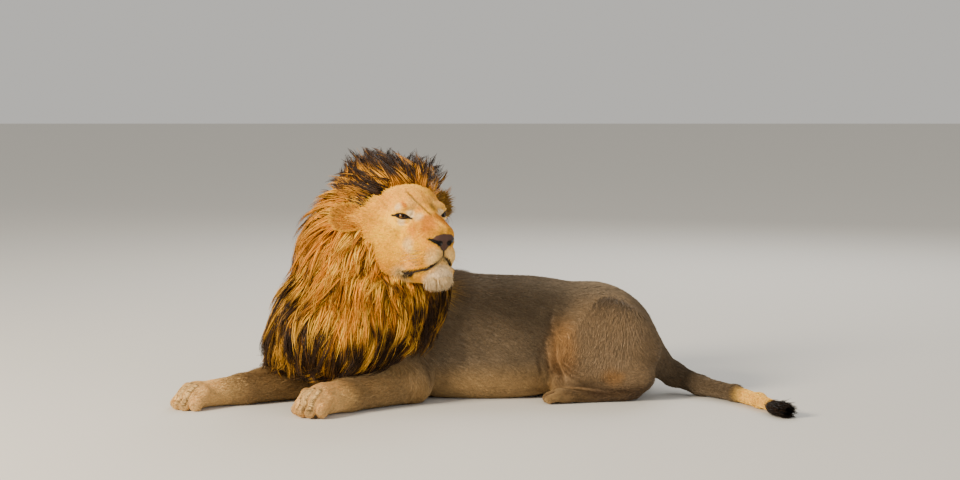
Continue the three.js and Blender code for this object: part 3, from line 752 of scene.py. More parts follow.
    def depth(self, points: Array) -> Array:
        """Args: points: N x 3. Returns: how deep the short coat is there."""
        left, right, head = self.lion.left, self.lion.right, self.lion.head.axes
        off_leg = np.minimum(points[:, 2], away_from(points, left.wrist, right.wrist) - 60)
        depth = np.full(len(points), self.BODY_DEPTH)
        for wanted, away, inner, outer in (
            (self.LEG_DEPTH, off_leg, 90, 220),
            (self.PAW_DEPTH, away_from(points, left.paw, right.paw, *self.HIND_PAWS), 90, 170),
            (self.FACE_DEPTH, away_from(points, head.outside([20, 0, -60])), 150, 300),
            (self.NOSE_DEPTH, away_from(points, head.outside([124, 0, -100])), 30, 70),
        ):
            depth += (wanted - depth) * falloff(away, inner, outer)
        return depth

    def distance(self, points: Array) -> Array:
        """Args: points: N x 3. Returns: N distances."""
        return np.maximum(self.worked.distance(points), self.GROUND - points[:, 2])

    def longest_edge(self, points: Array) -> Array:
        """Args: points: N x 3. Returns: the longest edge there: short at eyes, nose and paws."""
        lion, head = self.lion, self.lion.head.axes
        size = np.full(len(points), 15.0)
        for least, more, inner, outer, spots in (
            (4.6, 10.4, 100, 190, (lion.left.paw, lion.right.paw, (290, 226, 32), (290, -226, 32))),
            (4.6, 11, 150, 230, (head.outside([30, 0, -70]),)),
            (1.7, 14, 32, 110, [head.outside([0, side * 78, -4]) for side in SIDES]),
        ):
            size = np.minimum(size, least + more * (1 - falloff(away_from(points, *spots), inner, outer)))
        flattened = np.array([1, 1, 0.62])
        near_nose = away_from(head.inside(points) * flattened, np.array([112, 0, -135]) * flattened)
        return np.minimum(size, 2.6 + 14 * (1 - falloff(near_nose, 56, 110)))

    def surface(self) -> Surface:
        """Returns: the skin's mesh, of even cells at first, its edges split until they are short enough."""
        rough = Deepened(self.flesh, self.depth)
        mesh = relax(first_surface(rough, self.LOW, self.HIGH, self.CELL), rough, 0.5, 2)
        for number in range(5):
            mesh = split_long_edges(mesh, lambda points: self.longest_edge(points) * 1.35)
            mesh = relax(mesh, self if number >= 1 else rough, 0.45, 2)
        return Surface(settle(self, mesh.points), mesh.faces)


# ---------------------------------------------------------------- colours


def linear(code: str) -> Array:
    """Args: code: an sRGB colour as RRGGBB. Returns: its linear red, green and blue."""
    value = np.array([int(code[i:i + 2], 16) for i in (0, 2, 4)]) / 255.0
    return np.where(value <= 0.04045, value / 12.92, ((value + 0.055) / 1.055) ** 2.4)


class Tone(Enum):
    """The coat's colours, as sRGB codes."""

    FLANK = "6C5C47"
    BACK = "877761"
    BELLY = "A08256"
    OCHRE = "A87A42"
    THIGH = "8C7456"
    LEG = "987A4F"
    PAW = "E3BB7A"
    TAIL = "5E4F3C"
    TAIL_GOLD = "FCC860"
    BLACK = "1C1611"
    FACE = "F0B432"
    FOREHEAD = "F9B840"
    CHEEK = "FFC628"
    PALE = "F2CE88"
    CREAM = "F0D6AC"
    BRIDGE = "C06E08"
    RIM = "160D09"
    LEATHER = "50362A"
    LEATHER_DARK = "0C0807"
    BUFF = "FFE2AC"
    SCAR = "CC7A14"
    GOLD = "DE9020"
    LIGHT_GOLD = "FAC242"
    UMBER = "3E2714"
    BLACK_BROWN = "241810"
    EAR = "F0B040"

    @property
    def rgb(self) -> Array:
        """Returns: the colour, linear."""
        return linear(self.value)


def layered(base: Array, *layers: tuple[Tone, Array]) -> Array:
    """Args: base: the lowest colours. layers: what is laid over and how much. Returns: N x 3 colours."""
    for tone, share in layers:
        share = np.clip(share, 0, 1)[:, None]
        base = base * (1 - share) + tone.rgb * share
    return base


def wobble(points: Array, size: float, seed: int) -> Array:
    """Args: points: N x 3. size: a length. seed: any. Returns: soft blotches of that size, about -1 to 1."""
    rng = np.random.default_rng(seed)
    waves = rng.normal(size=(6, 3))
    waves /= np.linalg.norm(waves, axis=1, keepdims=True)
    waves *= TURN / (size * rng.uniform(0.7, 1.4, (6, 1)))
    return np.sin(points @ waves.T + rng.uniform(0, TURN, 6)).sum(1) / 3.0


@dataclass
class Markings:
    """The lion's colours, the same for skin and coat."""

    lion: Lion
    skin: SkinField

    WHISKER_ROWS = ((100, 48, -124), (98, 50, -134), (94, 53, -144), (88, 55, -154), (80, 56, -163))

    # Half the nose leather's width at heights from its lower end to its top.
    LEATHER_HEIGHTS = (-128, -124, -116, -108, -100, -92, -84, -76, -71)
    LEATHER_WIDTHS = (0, 8, 13, 22, 36, 43, 39, 29, 0)

    # Patches of the face: tone, share, inner and outer limits, middles. One at -Y is on the right side only.
    PATCHES = (
        (Tone.PALE, 0.3, 10, 40, (30, 40, 40)),
        (Tone.BRIDGE, 0.8, 14, 42, (106, 32, -46), (84, 20, -30)),
        (Tone.BRIDGE, 0.45, 8, 28, (58, 66, -46)),
        (Tone.BRIDGE, 0.45, 6, 20, (46, -24, 16)),
        (Tone.BUFF, 0.8, 8, 20, (6, 79, -18)),
        (Tone.BUFF, 0.9, 9, 22, (31, 57, 2)),
        (Tone.BUFF, 0.6, 8, 24, (59, 41, -8)),
        (Tone.BUFF, 0.6, 8, 24, (1, 90, 33)),
        (Tone.CHEEK, 0.8, 20, 50, (72, 58, -118)),
        (Tone.BUFF, 0.6, 14, 38, (41, 84, -98)),
        (Tone.PALE, 0.9, 20, 50, (116, 20, -146)),
        (Tone.CREAM, 1.0, 46, 66, (86, 0, -224)),
        (Tone.PALE, 0.9, 20, 50, (-30, 66, -190)),
    )

    def leather(self, points: Array) -> Array:
        """Args: points: N x 3. Returns: distance over the face to the nose leather's edge."""
        f, l, u = self.lion.head.axes.inside(points).T
        half = np.interp(u, self.LEATHER_HEIGHTS, self.LEATHER_WIDTHS, -20, -20)
        return np.maximum((np.abs(l) - half) * 0.8, 104 - f)

    def body(self, points: Array) -> Array:
        """Args: points: N x 3. Returns: the short coat's colours away from the face."""
        x, y, z = points.T
        side = np.abs(y)
        thigh = falloff(away_from(points * [1, 0, 1], (420, 0, 160)), 130, 230)
        fold = falloff(away_from(points * [1, 0, 0.6], (276, 0, 110)), 20, 80)
        # A small ochre patch low on the outer thigh, partly a painted highlight; the umber under the thigh
        # spares it.
        patch = falloff(np.hypot(x - 445, z - 92), 14, 50) * (side > 150)
        # Painted shade low on the haunch, under the thigh and round the hind foot.
        low = falloff(z, 40, 90) * falloff(np.abs(x - 440), 110, 180) * (side > 120)
        # Painted shade in the body's wrinkles at flank, knee, under the thigh and near the elbow.
        creases = np.max([crease.strength(points) for crease in self.skin.wrinkles], axis=0)
        layers = [
            (Tone.BACK, falloff(420 - z, 10, 120) * falloff(side, 60, 160)),
            (Tone.BELLY, falloff(z, 40, 150) * falloff(np.abs(x - 60), 260, 420)),
            (Tone.THIGH, thigh * 0.9),
            (Tone.OCHRE, np.maximum(fold * 0.6, patch * 0.55)),
            # Painted shade: umber under the thigh.
            (Tone.UMBER, low * 0.6 * (1 - patch)),
            # Painted shade: umber in the wrinkles.
            (Tone.UMBER, 0.5 * creases),
            # The hind foot takes only a little of the leg's colour and stays dark, as painted shade.
            (Tone.LEG, falloff(z, 44, 60) * falloff(np.abs(x - 280), 60, 120) * (side > 170) * 0.3),
        ]
        for leg in (self.lion.left, self.lion.right):
            along, away = beside(points, np.array(leg.elbow), np.array(leg.paw) - leg.elbow, -0.6)
            layers.append((Tone.LEG, falloff(away, 70, 150) * falloff(-along, -0.35, 0.25)))
            layers.append((Tone.PAW, falloff(away_from(points, leg.paw), 60, 170)))
        layers += [
            # Painted shade: umber in the gaps between the toes.
            (Tone.UMBER, self.skin.between_toes(points, 6.5) * 1.2),
            (Tone.TAIL, falloff(-(x - 600), -120, 0) * falloff(z, 130, 190)),
            (Tone.TAIL_GOLD, falloff(away_from(points, (935, -310, 25)), 60, 150) * (x > 820)),
            (Tone.BLACK, falloff(away_from(points, (985, -460, 24)), 55, 82)),
        ]
        mottled = 1 + 0.07 * wobble(points, 160, 5) + 0.05 * wobble(points, 45, 6)
        return layered(Tone.FLANK.rgb, *layers) * mottled[:, None]

    def face(self, points: Array) -> Array:
        """Args: points: N x 3. Returns: the colours of face, nose, lips and ears."""
        skin, head = self.skin, self.lion.head.axes
        local, mirrored = head.inside(points), head.inside(points, True)
        f, side, u = mirrored.T
        layers = [
            (Tone.CHEEK, falloff(away_from(mirrored, (-40, 90, -70)), 40, 110)),
            (Tone.FOREHEAD, falloff(-u, -40, 10) * falloff(side, 70, 120)),
        ]
        for tone, share, inner, outer, *spots in self.PATCHES:
            places = local if spots[0][1] < 0 else mirrored
            layers.append((tone, share * falloff(away_from(places, *spots), inner, outer)))
        mottled = 1 + 0.08 * wobble(points, 60, 8) + 0.07 * wobble(points, 16, 9)
        colour = layered(Tone.FACE.rgb, *layers) * mottled[:, None]

        lip = skin.mouth.strength(points, 13.0) * falloff(away_from(mirrored, (6, 62, -188)), 22, 46)
        lip *= falloff(u, -190, -180)
        layers = [
            (Tone.RIM, np.maximum(skin.mouth.strength(points, 6.2) * 2.0, lip * 1.6)),
            (Tone.RIM, skin.philtrum.strength(points, 3.4) * 1.6 * falloff(u, -122, -112)),
        ]
        for number, start in enumerate(self.WHISKER_ROWS):
            for i in range(6):
                spot = np.array(start) + np.array([-11.0, 1.6, 0.6 * (3 - number)]) * i
                ahead = f - spot[0] - 5.5 * (number % 2) - math.sin(2.3 * number + i)
                away = np.hypot(ahead * 0.7, u - spot[2])
                layers.append((Tone.UMBER, 0.6 * falloff(away, 1.2, 3.4) * (side > 20) * (f < 112)))
        leather = self.leather(points)
        round_hole = Ellipsoid((142, 18, -103), (18, 9, 7.5)).distance(mirrored)
        slit = Limb((143, 22, -103), (122, 47, -86), 5.5, 3.0).distance(mirrored)
        edge = falloff(np.abs(leather), 0.5, 3.5) * falloff(u, -96, -88)
        # Painted shade: the nostrils and the nose wing's groove are painted near black; the leather's dark
        # rim is its own colour.
        nostril_shade = falloff(np.minimum(round_hole, slit), 0, 2.5)
        dark = [edge * 0.8, nostril_shade, skin.nose_wing.strength(points, 5.5) * 1.5]
        scar = Crease([(0, -70, 51), (14, -72, 42), (28, -73, 26)], 3, 0, head)
        layers += [(Tone.RIM, rim) for rim in self.eye_rims(points)] + [
            (Tone.LEATHER, falloff(leather, -1, 2)),
            (Tone.LEATHER_DARK, np.maximum.reduce(dark)),
            (Tone.UMBER, skin.forehead_line.strength(points, 3.6)),
            # Painted shadow of the far brow: an umber spot on the forehead's left side.
            (Tone.UMBER, 0.5 * falloff(away_from(local, (42, 24, 22)), 6, 20)),
            (Tone.SCAR, 1.4 * scar.strength(points, 7.0)),
        ]
        return layered(colour, *layers)

    def eye_rims(self, points: Array) -> list[Array]:
        """Args: points: N x 3. Returns: for each eye, 1 on the dark skin round it and along its corners."""
        found = []
        for side in SIDES:
            x, y, z = eye = self.lion.head.eye_axes(side).inside(points).T
            ring = falloff(Almond().distance(eye.T) - 1.5 * (z > 0), 2.4, 5.0)
            corners = falloff(np.abs(z + 0.05 * np.abs(y)), 2.5, 5.0) * falloff(np.abs(y), 38, 44)
            found.append(np.maximum(ring, corners) * falloff(-x, 2, 14))
        return found

    def coat(self, points: Array) -> Array:
        """Args: points: N x 3. Returns: the colours of skin and short coat."""
        head = self.lion.head.axes
        round_face = away_from(points, head.outside([0, 0, -60])) - 230
        share = falloff(np.maximum(-head.inside(points)[:, 0] - 150, round_face), 0, 60)[:, None]
        return self.body(points) * (1 - share) + self.face(points) * share


# ---------------------------------------------------------------- hair


@dataclass(frozen=True)
class Wrap:
    """An unwrap of the skin round a bone: U runs along it and V turns round it."""

    start: Point
    end: Point
    up: Point = (0.0, 0.0, 1.0)

    PATCH = 0.003  # how large one tuft is on the map
    MARGIN = 0.01

    def places(self, points: Array) -> Array:
        """Args: points: N x 3. Returns: N x 2 map places."""
        axis = unit(np.array(self.end, float) - self.start)
        side = unit(np.cross(axis, self.up))
        away = points - np.array(self.start)
        along = away @ axis
        turn = np.arctan2(away @ side, away @ np.cross(side, axis)) / TURN + 0.5
        share = (along - along.min()) / (np.ptp(along) + 1e-9)
        return self.MARGIN + (1 - 2 * self.MARGIN) * np.stack([share, turn], 1)


@dataclass
class Hair:
    """Solid tufts or strands as one mesh, with colours and map places at the vertices."""

    points: Array
    faces: Array
    colours: Array
    places: Array

    @staticmethod
    def repeated(points: Array, pattern: Sequence, colours: Array, places: Array, spread: Sequence) -> "Hair":
        """Joins hairs of one make.

        Args:
            points, colours: N x K x 3, at each hair's vertices.
            pattern: one hair's faces.
            places: N x 2 map places.
            spread: K x 2, how each hair's vertices lie on its patch of the map.

        Returns:
            The mesh.
        """
        faces = (np.arange(len(points))[:, None, None] * points.shape[1] + np.array(pattern)).reshape(-1, 3)
        spots = (places[:, None] + np.array(spread) * Wrap.PATCH).reshape(-1, 2)
        return Hair(points.reshape(-1, 3), faces, np.clip(colours, 0, 1).reshape(-1, 3), spots)


def short_tufts(
    roots: Array, normals: Array, lies: Array, sizes: Array, colours: Array, places: Array,
) -> Hair:
    """Short tufts, each a thin wedge along the coat with its root's two sides, a ridge point and a tip.

    Args:
        roots, normals, lies: N x 3, where each tuft starts, the skin's direction there and the way it lies.
        sizes: N x 4, each tuft's length, width, thickness and the tip's height over the skin.
        colours: N x 3.
        places: N x 2 map places.

    Returns:
        The tufts' mesh.
    """
    side = unit(np.cross(normals, lies))
    length, width, thick, lift = (sizes[:, i:i + 1] for i in range(4))
    base = roots - 0.8 * normals
    ridge = roots + 0.3 * length * lies + normals * (thick + 0.3 * lift)
    tip = roots + length * lies + normals * lift
    corners = np.stack([base - side * width / 2, base + side * width / 2, ridge, tip], 1)
    corners[..., 2] = np.maximum(corners[..., 2], 0.4)
    pattern = [[0, 3, 2], [1, 2, 3], [0, 2, 1], [0, 1, 3]]
    # Painted shade and light: each tuft's two root corners are darkened to 0.8 and its tip lightened to 1.12.
    shade = np.array([0.8, 0.8, 1.0, 1.12])[:, None]
    spread = [[-0.5, -0.5], [0.5, -0.5], [0.1, 0.0], [0.0, 0.5]]
    return Hair.repeated(corners, pattern, colours[:, None] * shade, places, spread)


def long_strands(paths: Array, outward: Array, width: Array, colours: Array, places: Array) -> Hair:
    """Long strands with a flat three-cornered section: at share t, width * (1 - t ** (1 / taper)) across.

    Args:
        paths, outward: N x K x 3, points along each strand and the directions away from the body.
        width: N, the width near the root.
        colours: N x K x 3.
        places: N x 2 map places.

    Returns:
        The strands' mesh.
    """
    taper, steps = 0.7, paths.shape[1]
    along = unit(np.gradient(paths, axis=1))
    side = unit(np.cross(outward, along))
    top = unit(np.cross(along, side))
    share = np.linspace(0, 1, steps)
    profile = (1 - share ** (1 / taper)) * (0.55 + 0.45 * np.minimum(share * 6, 1))
    half = (width[:, None] * profile[None] / 2)[..., None]
    rings = np.stack([paths - side * half, paths + side * half, paths + top * half * 0.8], 2)[:, :-1]
    points = np.concatenate([rings.reshape(len(paths), -1, 3), paths[:, -1:]], 1)
    last, tip, turns = 3 * (steps - 2), 3 * (steps - 1), ((0, 1), (1, 2), (2, 0))
    pattern = [[0, 2, 1]]
    for a in range(0, last, 3):
        for p, q in turns:
            pattern += [[a + p, a + q, a + 3 + q], [a + p, a + 3 + q, a + 3 + p]]
    pattern += [[last + p, last + q, tip] for p, q in turns]
    shades = np.concatenate([np.repeat(colours[:, :-1], 3, axis=1), colours[:, -1:]], 1)
    section = ((-0.5, 0), (0.5, 0), (0.1, 0.06))
    spread = [(x, t - 0.5 + y) for t in share[:-1] for x, y in section] + [(0, 0.5)]
    return Hair.repeated(points, pattern, shades, places, spread)


def parcels(name: str, chosen: Array, order: Array, limit: int) -> Iterator[tuple[str, Array]]:
    """Args: name: of the hairs. chosen: their numbers. order: to sort by. limit: of one. Yields: pieces."""
    chosen = chosen[np.argsort(order[chosen], kind="stable")]
    for part, some in enumerate(np.array_split(chosen, max(1, math.ceil(len(chosen) / limit)))):
        if len(some):
            yield f"{name}_{part + 1}", some


class Lie:
    """Which way the short hair lies: along the nearest bones, back over the face and down the flanks."""

    def __init__(self, lion: Lion) -> None:
        """Args: lion: whose bones. Each has a region, start, end, girth and how much the hair sags there."""
        self.lion = lion
        self.bones = [("flank", (-300, 0, 235), (450, 0, 235), 190, 0.45)]
        for side, name in ((-1, "haunch_left"), (1, "haunch_right")):
            self.bones += [
                (name, (470, side * 120, 300), (335, side * 170, 80), 110, 0),
                (name, (310, side * 190, 70), (540, side * 196, 50), 60, 0),
                (name, (540, side * 200, 34), (240, side * 232, 30), 38, 0),
            ]
        for leg, name in ((lion.left, "foreleg_left"), (lion.right, "foreleg_right")):
            self.bones += [
                (name, leg.shoulder, leg.elbow, 80, 0),
                (name, leg.elbow, leg.wrist, 65, 0),
                (name, leg.wrist, leg.paw_axes.outside([80, 0, -20]), 52, 0),
            ]
        self.bones += [("tail", a[:3], b[:3], a[3], 0) for a, b in zip(lion.tail, lion.tail[1:])]

    def follow(self, points: Array, normals: Array) -> tuple[Array, Array]:
        """Finds the lie of the coat.

        Args:
            points, normals: N x 3, places on the skin and its directions.

        Returns:
            N x 3 unit directions along the skin, and the number of each place's nearest bone, -1 on the face.
        """
        total = np.zeros_like(points)
        best, nearest = np.full(len(points), 1e9), np.zeros(len(points), int)
        for number, (_, start, end, girth, sag) in enumerate(self.bones):
            axis = np.array(end) - start
            away = beside(points, np.array(start), axis)[1] / girth
            direction = np.tile(unit(axis), (len(points), 1))
            direction[:, 2] -= sag * falloff(-np.abs(normals[:, 1]), -0.9, -0.2)
            total += direction * (np.exp(-2.5 * away**2) + 1e-6)[:, None]
            closer = away < best
            best[closer], nearest[closer] = away[closer], number
        head = self.lion.head.axes
        f, l, u = head.inside(points).T
        chin = falloff(u, -215, -165)[:, None]
        back = np.stack([-np.ones_like(f), 0.5 * l / 90, 0.45 * (u + 40) / 90], 1)
        back = back * (1 - chin) + np.array([-0.5, 0, -1.0]) * chin
        share = falloff(away_from(points, head.outside([-20, 0, -60])), 190, 300)[:, None]
        total = unit(total) * (1 - share) + unit(head.turned(back)) * share
        nearest[share[:, 0] > 0.5] = -1
        return unit(total - normals * (total * normals).sum(1, keepdims=True)), nearest


class FaceFront(Field):
    """Everything in front of a line from the crown, behind the cheek and forward along the jaw."""

    # How far forward the long hair starts at heights from the breast to the brow.
    HEIGHTS = (-420, -330, -260, -226, -182, -126, -80, -42, 8, 54)
    STARTS = (200, 110, 30, -30, -64, -90, -114, -128, -126, -114)

    def __init__(self, axes: Axes) -> None:
        """Args: axes: the head's."""
        self.axes, self.centre, self.reach = axes, np.array(axes.origin), 700.0

    def distance(self, points: Array) -> Array:
        """Args: points: N x 3. Returns: N distances."""
        forward, left, up = self.axes.inside(points).T
        over = falloff(-up, -78, -44)
        cone = np.maximum(np.hypot(left, up + 30) - 140, 0) * (0.85 - 0.65 * over) * falloff(-up, 150, 230)
        return (self.hairline(left, up) - cone - forward) / 1.3

    @classmethod
    def hairline(cls, left: Array, up: Array) -> Array:
        """Args: left, up: Y and Z in the head's axes. Returns: how far forward the long hair starts there."""
        over = falloff(-up, -78, -44)
        brow = -6 - np.where(left > 0, 0.6, 1.0) * np.abs(left)
        return np.interp(up, cls.HEIGHTS, cls.STARTS) * (1 - over) + brow * over


@dataclass
class Mane:
    """The mane: an undercoat darkened as painted shade, and long locks that flow off the face, over the neck
    and down the breast.
    """

    lion: Lion
    markings: Markings

    UNDERCOAT = 36.0  # how deep it lies under the mane's outside
    LOW, HIGH, CELL = (-800, -480, 4), (20, 150, 900), 16.0  # its grid's corners and spacing
    LOCKS = 1900
    STRANDS = 15
    STEPS = 6
    CREST = 854.0  # tips over this height bend down
    LIMIT = 7000  # strands in one piece
    NAMES = ("crown", "neck_right", "neck_left", "breast_right", "breast_left")

    def __post_init__(self) -> None:
        """Joins the masses of hair and clears the face."""
        bulk = Melt(
            (Ellipsoid((-322, -85, 660), (176, 156, 184)), 50),
            (Ellipsoid((-188, -94, 714), (132, 108, 114)), 50),
            (Ellipsoid((-198, -62, 626), (124, 112, 136)), 50),
            (Ellipsoid((-406, -125, 460), (236, 225, 262)), 80),
            (Ellipsoid((-480, -160, 262), (245, 250, 168)), 80),
            (Ellipsoid((-488, -285, 205), (147, 128, 118)), 80),
            (Ellipsoid((-622, -150, 325), (82, 140, 100)), 60),
            (Ellipsoid((-640, -170, 185), (110, 120, 80)), 60),
            (Ellipsoid((-282, -165, 388), (164, 158, 192)), 60),
            (Ellipsoid((-226, -30, 350), (122, 112, 90)), 60),
            (Ellipsoid((-335, 45, 375), (125, 92, 110)), 60),
        )
        self.head = self.lion.head.axes
        self.shell = Scooped(bulk, (FaceFront(self.head), 30))
        self.flesh = self.lion.flesh()

    def undercoat(self) -> Surface:
        """Returns: the closed surface under the locks."""
        inner = Deepened(self.shell, lambda points: self.UNDERCOAT)
        return relax(first_surface(inner, self.LOW, self.HIGH, self.CELL), inner, 0.4, 2)

    def lie(self, points: Array) -> Array:
        """Args: points: N x 3. Returns: the long hair's flow: off the face, down the neck, off the breast."""
        f, l, u = self.head.inside(points).T
        round_face = np.hypot(l, u) + 40
        out = np.stack([-0.55 * np.ones_like(f), l / round_face, (u + 20) / round_face], 1)
        out[:, 2] -= 0.9 * (1 - falloff(-u, -60, 60))
        x, y, z = points.T
        away = unit(np.stack([x + 320, y + 110, np.zeros_like(z)], 1))
        share = falloff(-z, -660, -430)[:, None]
        down = unit(away * 0.45 + np.array([0.0, 0.0, -1.0]))
        return unit(self.head.turned(out)) * share + down * (1 - share)

    def guides(self, roots: Array, rng: np.random.Generator) -> tuple[Array, Array]:
        """Grows one path from each root: it follows the lie while it rises from its root to its tip's level.

        Args:
            roots: N x 3.
            rng: the source of chance.

        Returns:
            N x STEPS x 3 paths and the outward directions along them.
        """
        count, steps = len(roots), self.STEPS - 1
        lengths = self.lengths(roots, rng)
        level = self.shell.distance(roots)
        crown = falloff(-roots[:, 2], -760, -640)
        lean = rng.normal(scale=0.16, size=(count, 3))
        tip = rng.uniform(-26, 4, count) * (1 - crown) + rng.uniform(-46, -3, count) * crown
        hold = 0.6 - 0.3 * crown
        bottom = rng.uniform(84, 112, count)
        points, paths, outs = roots, [roots], []
        for step in range(1, self.STEPS):
            share = step / steps
            normal = gradient(self.shell, points, 6)
            outs.append(normal)
            flow = self.lie(points) + lean
            flow = unit(flow - normal * (0.5 * (flow * normal).sum(1, keepdims=True)))
            points = points + flow * (lengths / steps)[:, None]
            wanted = level + (tip - level) * min(1.0, 1.5 * share) ** 0.8
            off = np.clip(self.shell.distance(points) - wanted, -60, 60)
            points = points - normal * (hold * off)[:, None]
            buried = np.maximum(6 - self.flesh.distance(points), 0)
            points = points + gradient(self.flesh, points, 4) * buried[:, None]
            points[:, 2] = np.maximum(points[:, 2], bottom + 10 * (1 - share))
            paths.append(points)
        return np.stack(paths, 1), np.stack([*outs, outs[-1]], 1)

    def colours(self, points: Array, share: Array, lock: Array) -> Array:
        """The mane's colours: gold round face and neck, umber to black low down, behind and at the crown,
        with painted shade under the chin and at the roots.

        Args:
            points: N x 3.
            share: how far along its strand each point is.
            lock: each lock's own chance, from -1 to 1.

        Returns:
            N x 3 colours.
        """
        x, _, z = points.T
        local, mirrored = self.head.inside(points), self.head.inside(points, True)
        dark_tips = falloff(-z, -780, -680) * falloff(-share, -0.7, -0.2)
        zone = np.maximum.reduce([
            falloff(z + 60 * wobble(points, 130, 21), 140, 320) * 0.94,  # low down
            falloff(-(x + 30 * wobble(points, 120, 22)), 110, 220) * falloff(z, 520, 640),  # behind
            falloff(-x, 170, 320) * falloff(z, 300, 400) * 0.8,  # by the flank
            np.maximum(dark_tips, 0.9 * falloff(-z, -830, -750)),  # the crown
            falloff(x + 40 * wobble(points, 90, 24), -650, -540) * falloff(z, 360, 500) * 0.85,  # in front
            falloff(local[:, 0] + 260, -120, 0) * 0.5 * falloff(-share, -0.9, -0.3),  # the nape
            # Painted shade under the chin: the throat's share darkens the locks there.
            falloff(away_from(points, (-215, -330, 400)), 60, 140) * 0.25,  # the throat
            falloff(away_from(local, (-150, -120, 84)), 40, 100) * 0.6,  # the temple
        ])
        dark = falloff(-(zone + 0.08 + 0.5 * lock + 0.14 * wobble(points, 50, 23)), -0.85, -0.2)
        beside_face = falloff(away_from(mirrored, (-90, 110, -110)), 80, 210)
        light = falloff(1.2 * lock + 0.3 * share - 0.5 * beside_face, -0.75, 0.2)
        colour = layered(
            Tone.GOLD.rgb,
            (Tone.LIGHT_GOLD, light * (1 - 0.55 * zone) * (1 - 0.6 * falloff(-z, -740, -640))),
            (Tone.UMBER, dark * 0.95),
            (Tone.BLACK_BROWN, np.clip(dark * 1.5 - 0.75, 0, 1) * falloff(-lock, 0.0, 0.9)),
        )
        # Painted shade: each strand is darker towards its root, from 0.68 there up to full colour a third of
        # the way out.
        return colour * (0.68 + 0.32 * np.clip(share * 3, 0, 1))[:, None]

    def lengths(self, roots: Array, rng: np.random.Generator) -> Array:
        """Args: roots: N x 3. rng: the source of chance. Returns: lengths of locks, less at the hairline."""
        f, l, u = self.head.inside(roots).T
        near = falloff(FaceFront.hairline(l, u) - f, 0, 120)
        base = 215 - 45 * falloff(-roots[:, 2], -720, -560)
        return base * (1 - (0.62 - 0.5 * falloff(-u, -80, -40)) * near) * rng.uniform(0.75, 1.2, len(roots))

    def clear_of_ears(self, points: Array) -> Array:
        """Args: points: N x 3. Returns: whether each is out of the way of both ears."""
        room = Ellipsoid((26, 0, 0), (44, 60, 50))
        ears = [Ear(self.head, side).axes for side in SIDES]
        return np.all([room.distance(ear.inside(points)) > 0 for ear in ears], axis=0)

    def locks(self, skin: Surface, undercoat: Surface) -> Iterator[tuple[str, Hair]]:
        """Args: skin, undercoat: what the locks grow from. Yields: each piece's name and hair."""
        rng = np.random.default_rng(41)
        count = amount(self.LOCKS)
        free = self.flesh.distance(undercoat.middles) > 2
        roots, _ = undercoat.scattered(free * 1.0, int(count * 0.62), rng)
        inside = self.shell.distance(skin.middles)
        density = falloff(inside, -4, 8) * (0.35 + falloff(-inside, 20, 70))
        others, _ = skin.scattered(density, count - len(roots), rng)
        guides, outs = self.guides(np.vstack([roots, others]), rng)
        clear = self.clear_of_ears(guides.reshape(-1, 3)).reshape(guides.shape[:2]).all(1)
        guides, outs = guides[clear], outs[clear]
        lock = np.repeat(rng.uniform(-1, 1, len(guides)), self.STRANDS)
        number = np.repeat(np.arange(len(guides)), self.STRANDS)[:, None]
        total = len(number)
        reach = rng.uniform(0.62, 1.0, total)
        share = np.linspace(0, 1, self.STEPS)
        place = share[None] * reach[:, None] * (self.STEPS - 1)
        low = np.minimum(place.astype(int), self.STEPS - 2)
        part = (place - low)[..., None]
        paths = guides[number, low] * (1 - part) + guides[number, low + 1] * part
        outward = outs[number, low]
        side = unit(np.cross(outward, unit(np.gradient(paths, axis=1))))
        spread = rng.normal(size=(total, 2)) * np.array([13.0, 5.0])
        narrow = (1 - 0.8 * share)[None] + (rng.uniform(size=total) < 0.12)[:, None] * share[None] ** 2 * 1.3
        turns, phase = rng.uniform(2, 6, total)[:, None], rng.uniform(0, 6.3, total)[:, None]
        wave = 3.0 * np.sin(share[None] * turns + phase)
        paths = paths + side * (spread[:, :1] * narrow + wave * share[None])[..., None]
        paths = paths + outward * (spread[:, 1:] * narrow)[..., None]
        height = paths[..., 2]
        paths[..., 2] = np.maximum(np.minimum(height, self.CREST + 0.4 * (height - self.CREST)), 4)
        width = rng.uniform(2.8, 5.4, total)
        own = np.repeat(np.clip(lock + rng.normal(scale=0.22, size=total), -1, 1), self.STEPS)
        colours = self.colours(paths.reshape(-1, 3), np.tile(share, total), own).reshape(paths.shape)
        colours = colours * rng.uniform(0.8, 1.16, (total, 1, 1))
        # Painted shade: strands set deeper into the mane are darker, those further out lighter.
        colours = colours * np.clip(0.9 + 0.05 * spread[:, 1:], 0.42, 1.15)[..., None]

        wrap = Wrap((-330, -100, 60), (-330, -100, 900), (1, 0, 0))
        starts = paths[:, 0]
        right = Axes((-330, -100, 0), -55).inside(starts)[:, 0] > 0
        area = np.where(starts[:, 2] > 620, 0, np.where(right, 1, 2) + 2 * (starts[:, 2] < 360))
        for region, name in enumerate(self.NAMES):
            chosen = np.flatnonzero(area == region)
            for piece, some in parcels(f"mane_{name}", chosen, starts[:, 2], self.LIMIT):
                places = wrap.places(starts[some])
                yield piece, long_strands(paths[some], outward[some], width[some], colours[some], places)


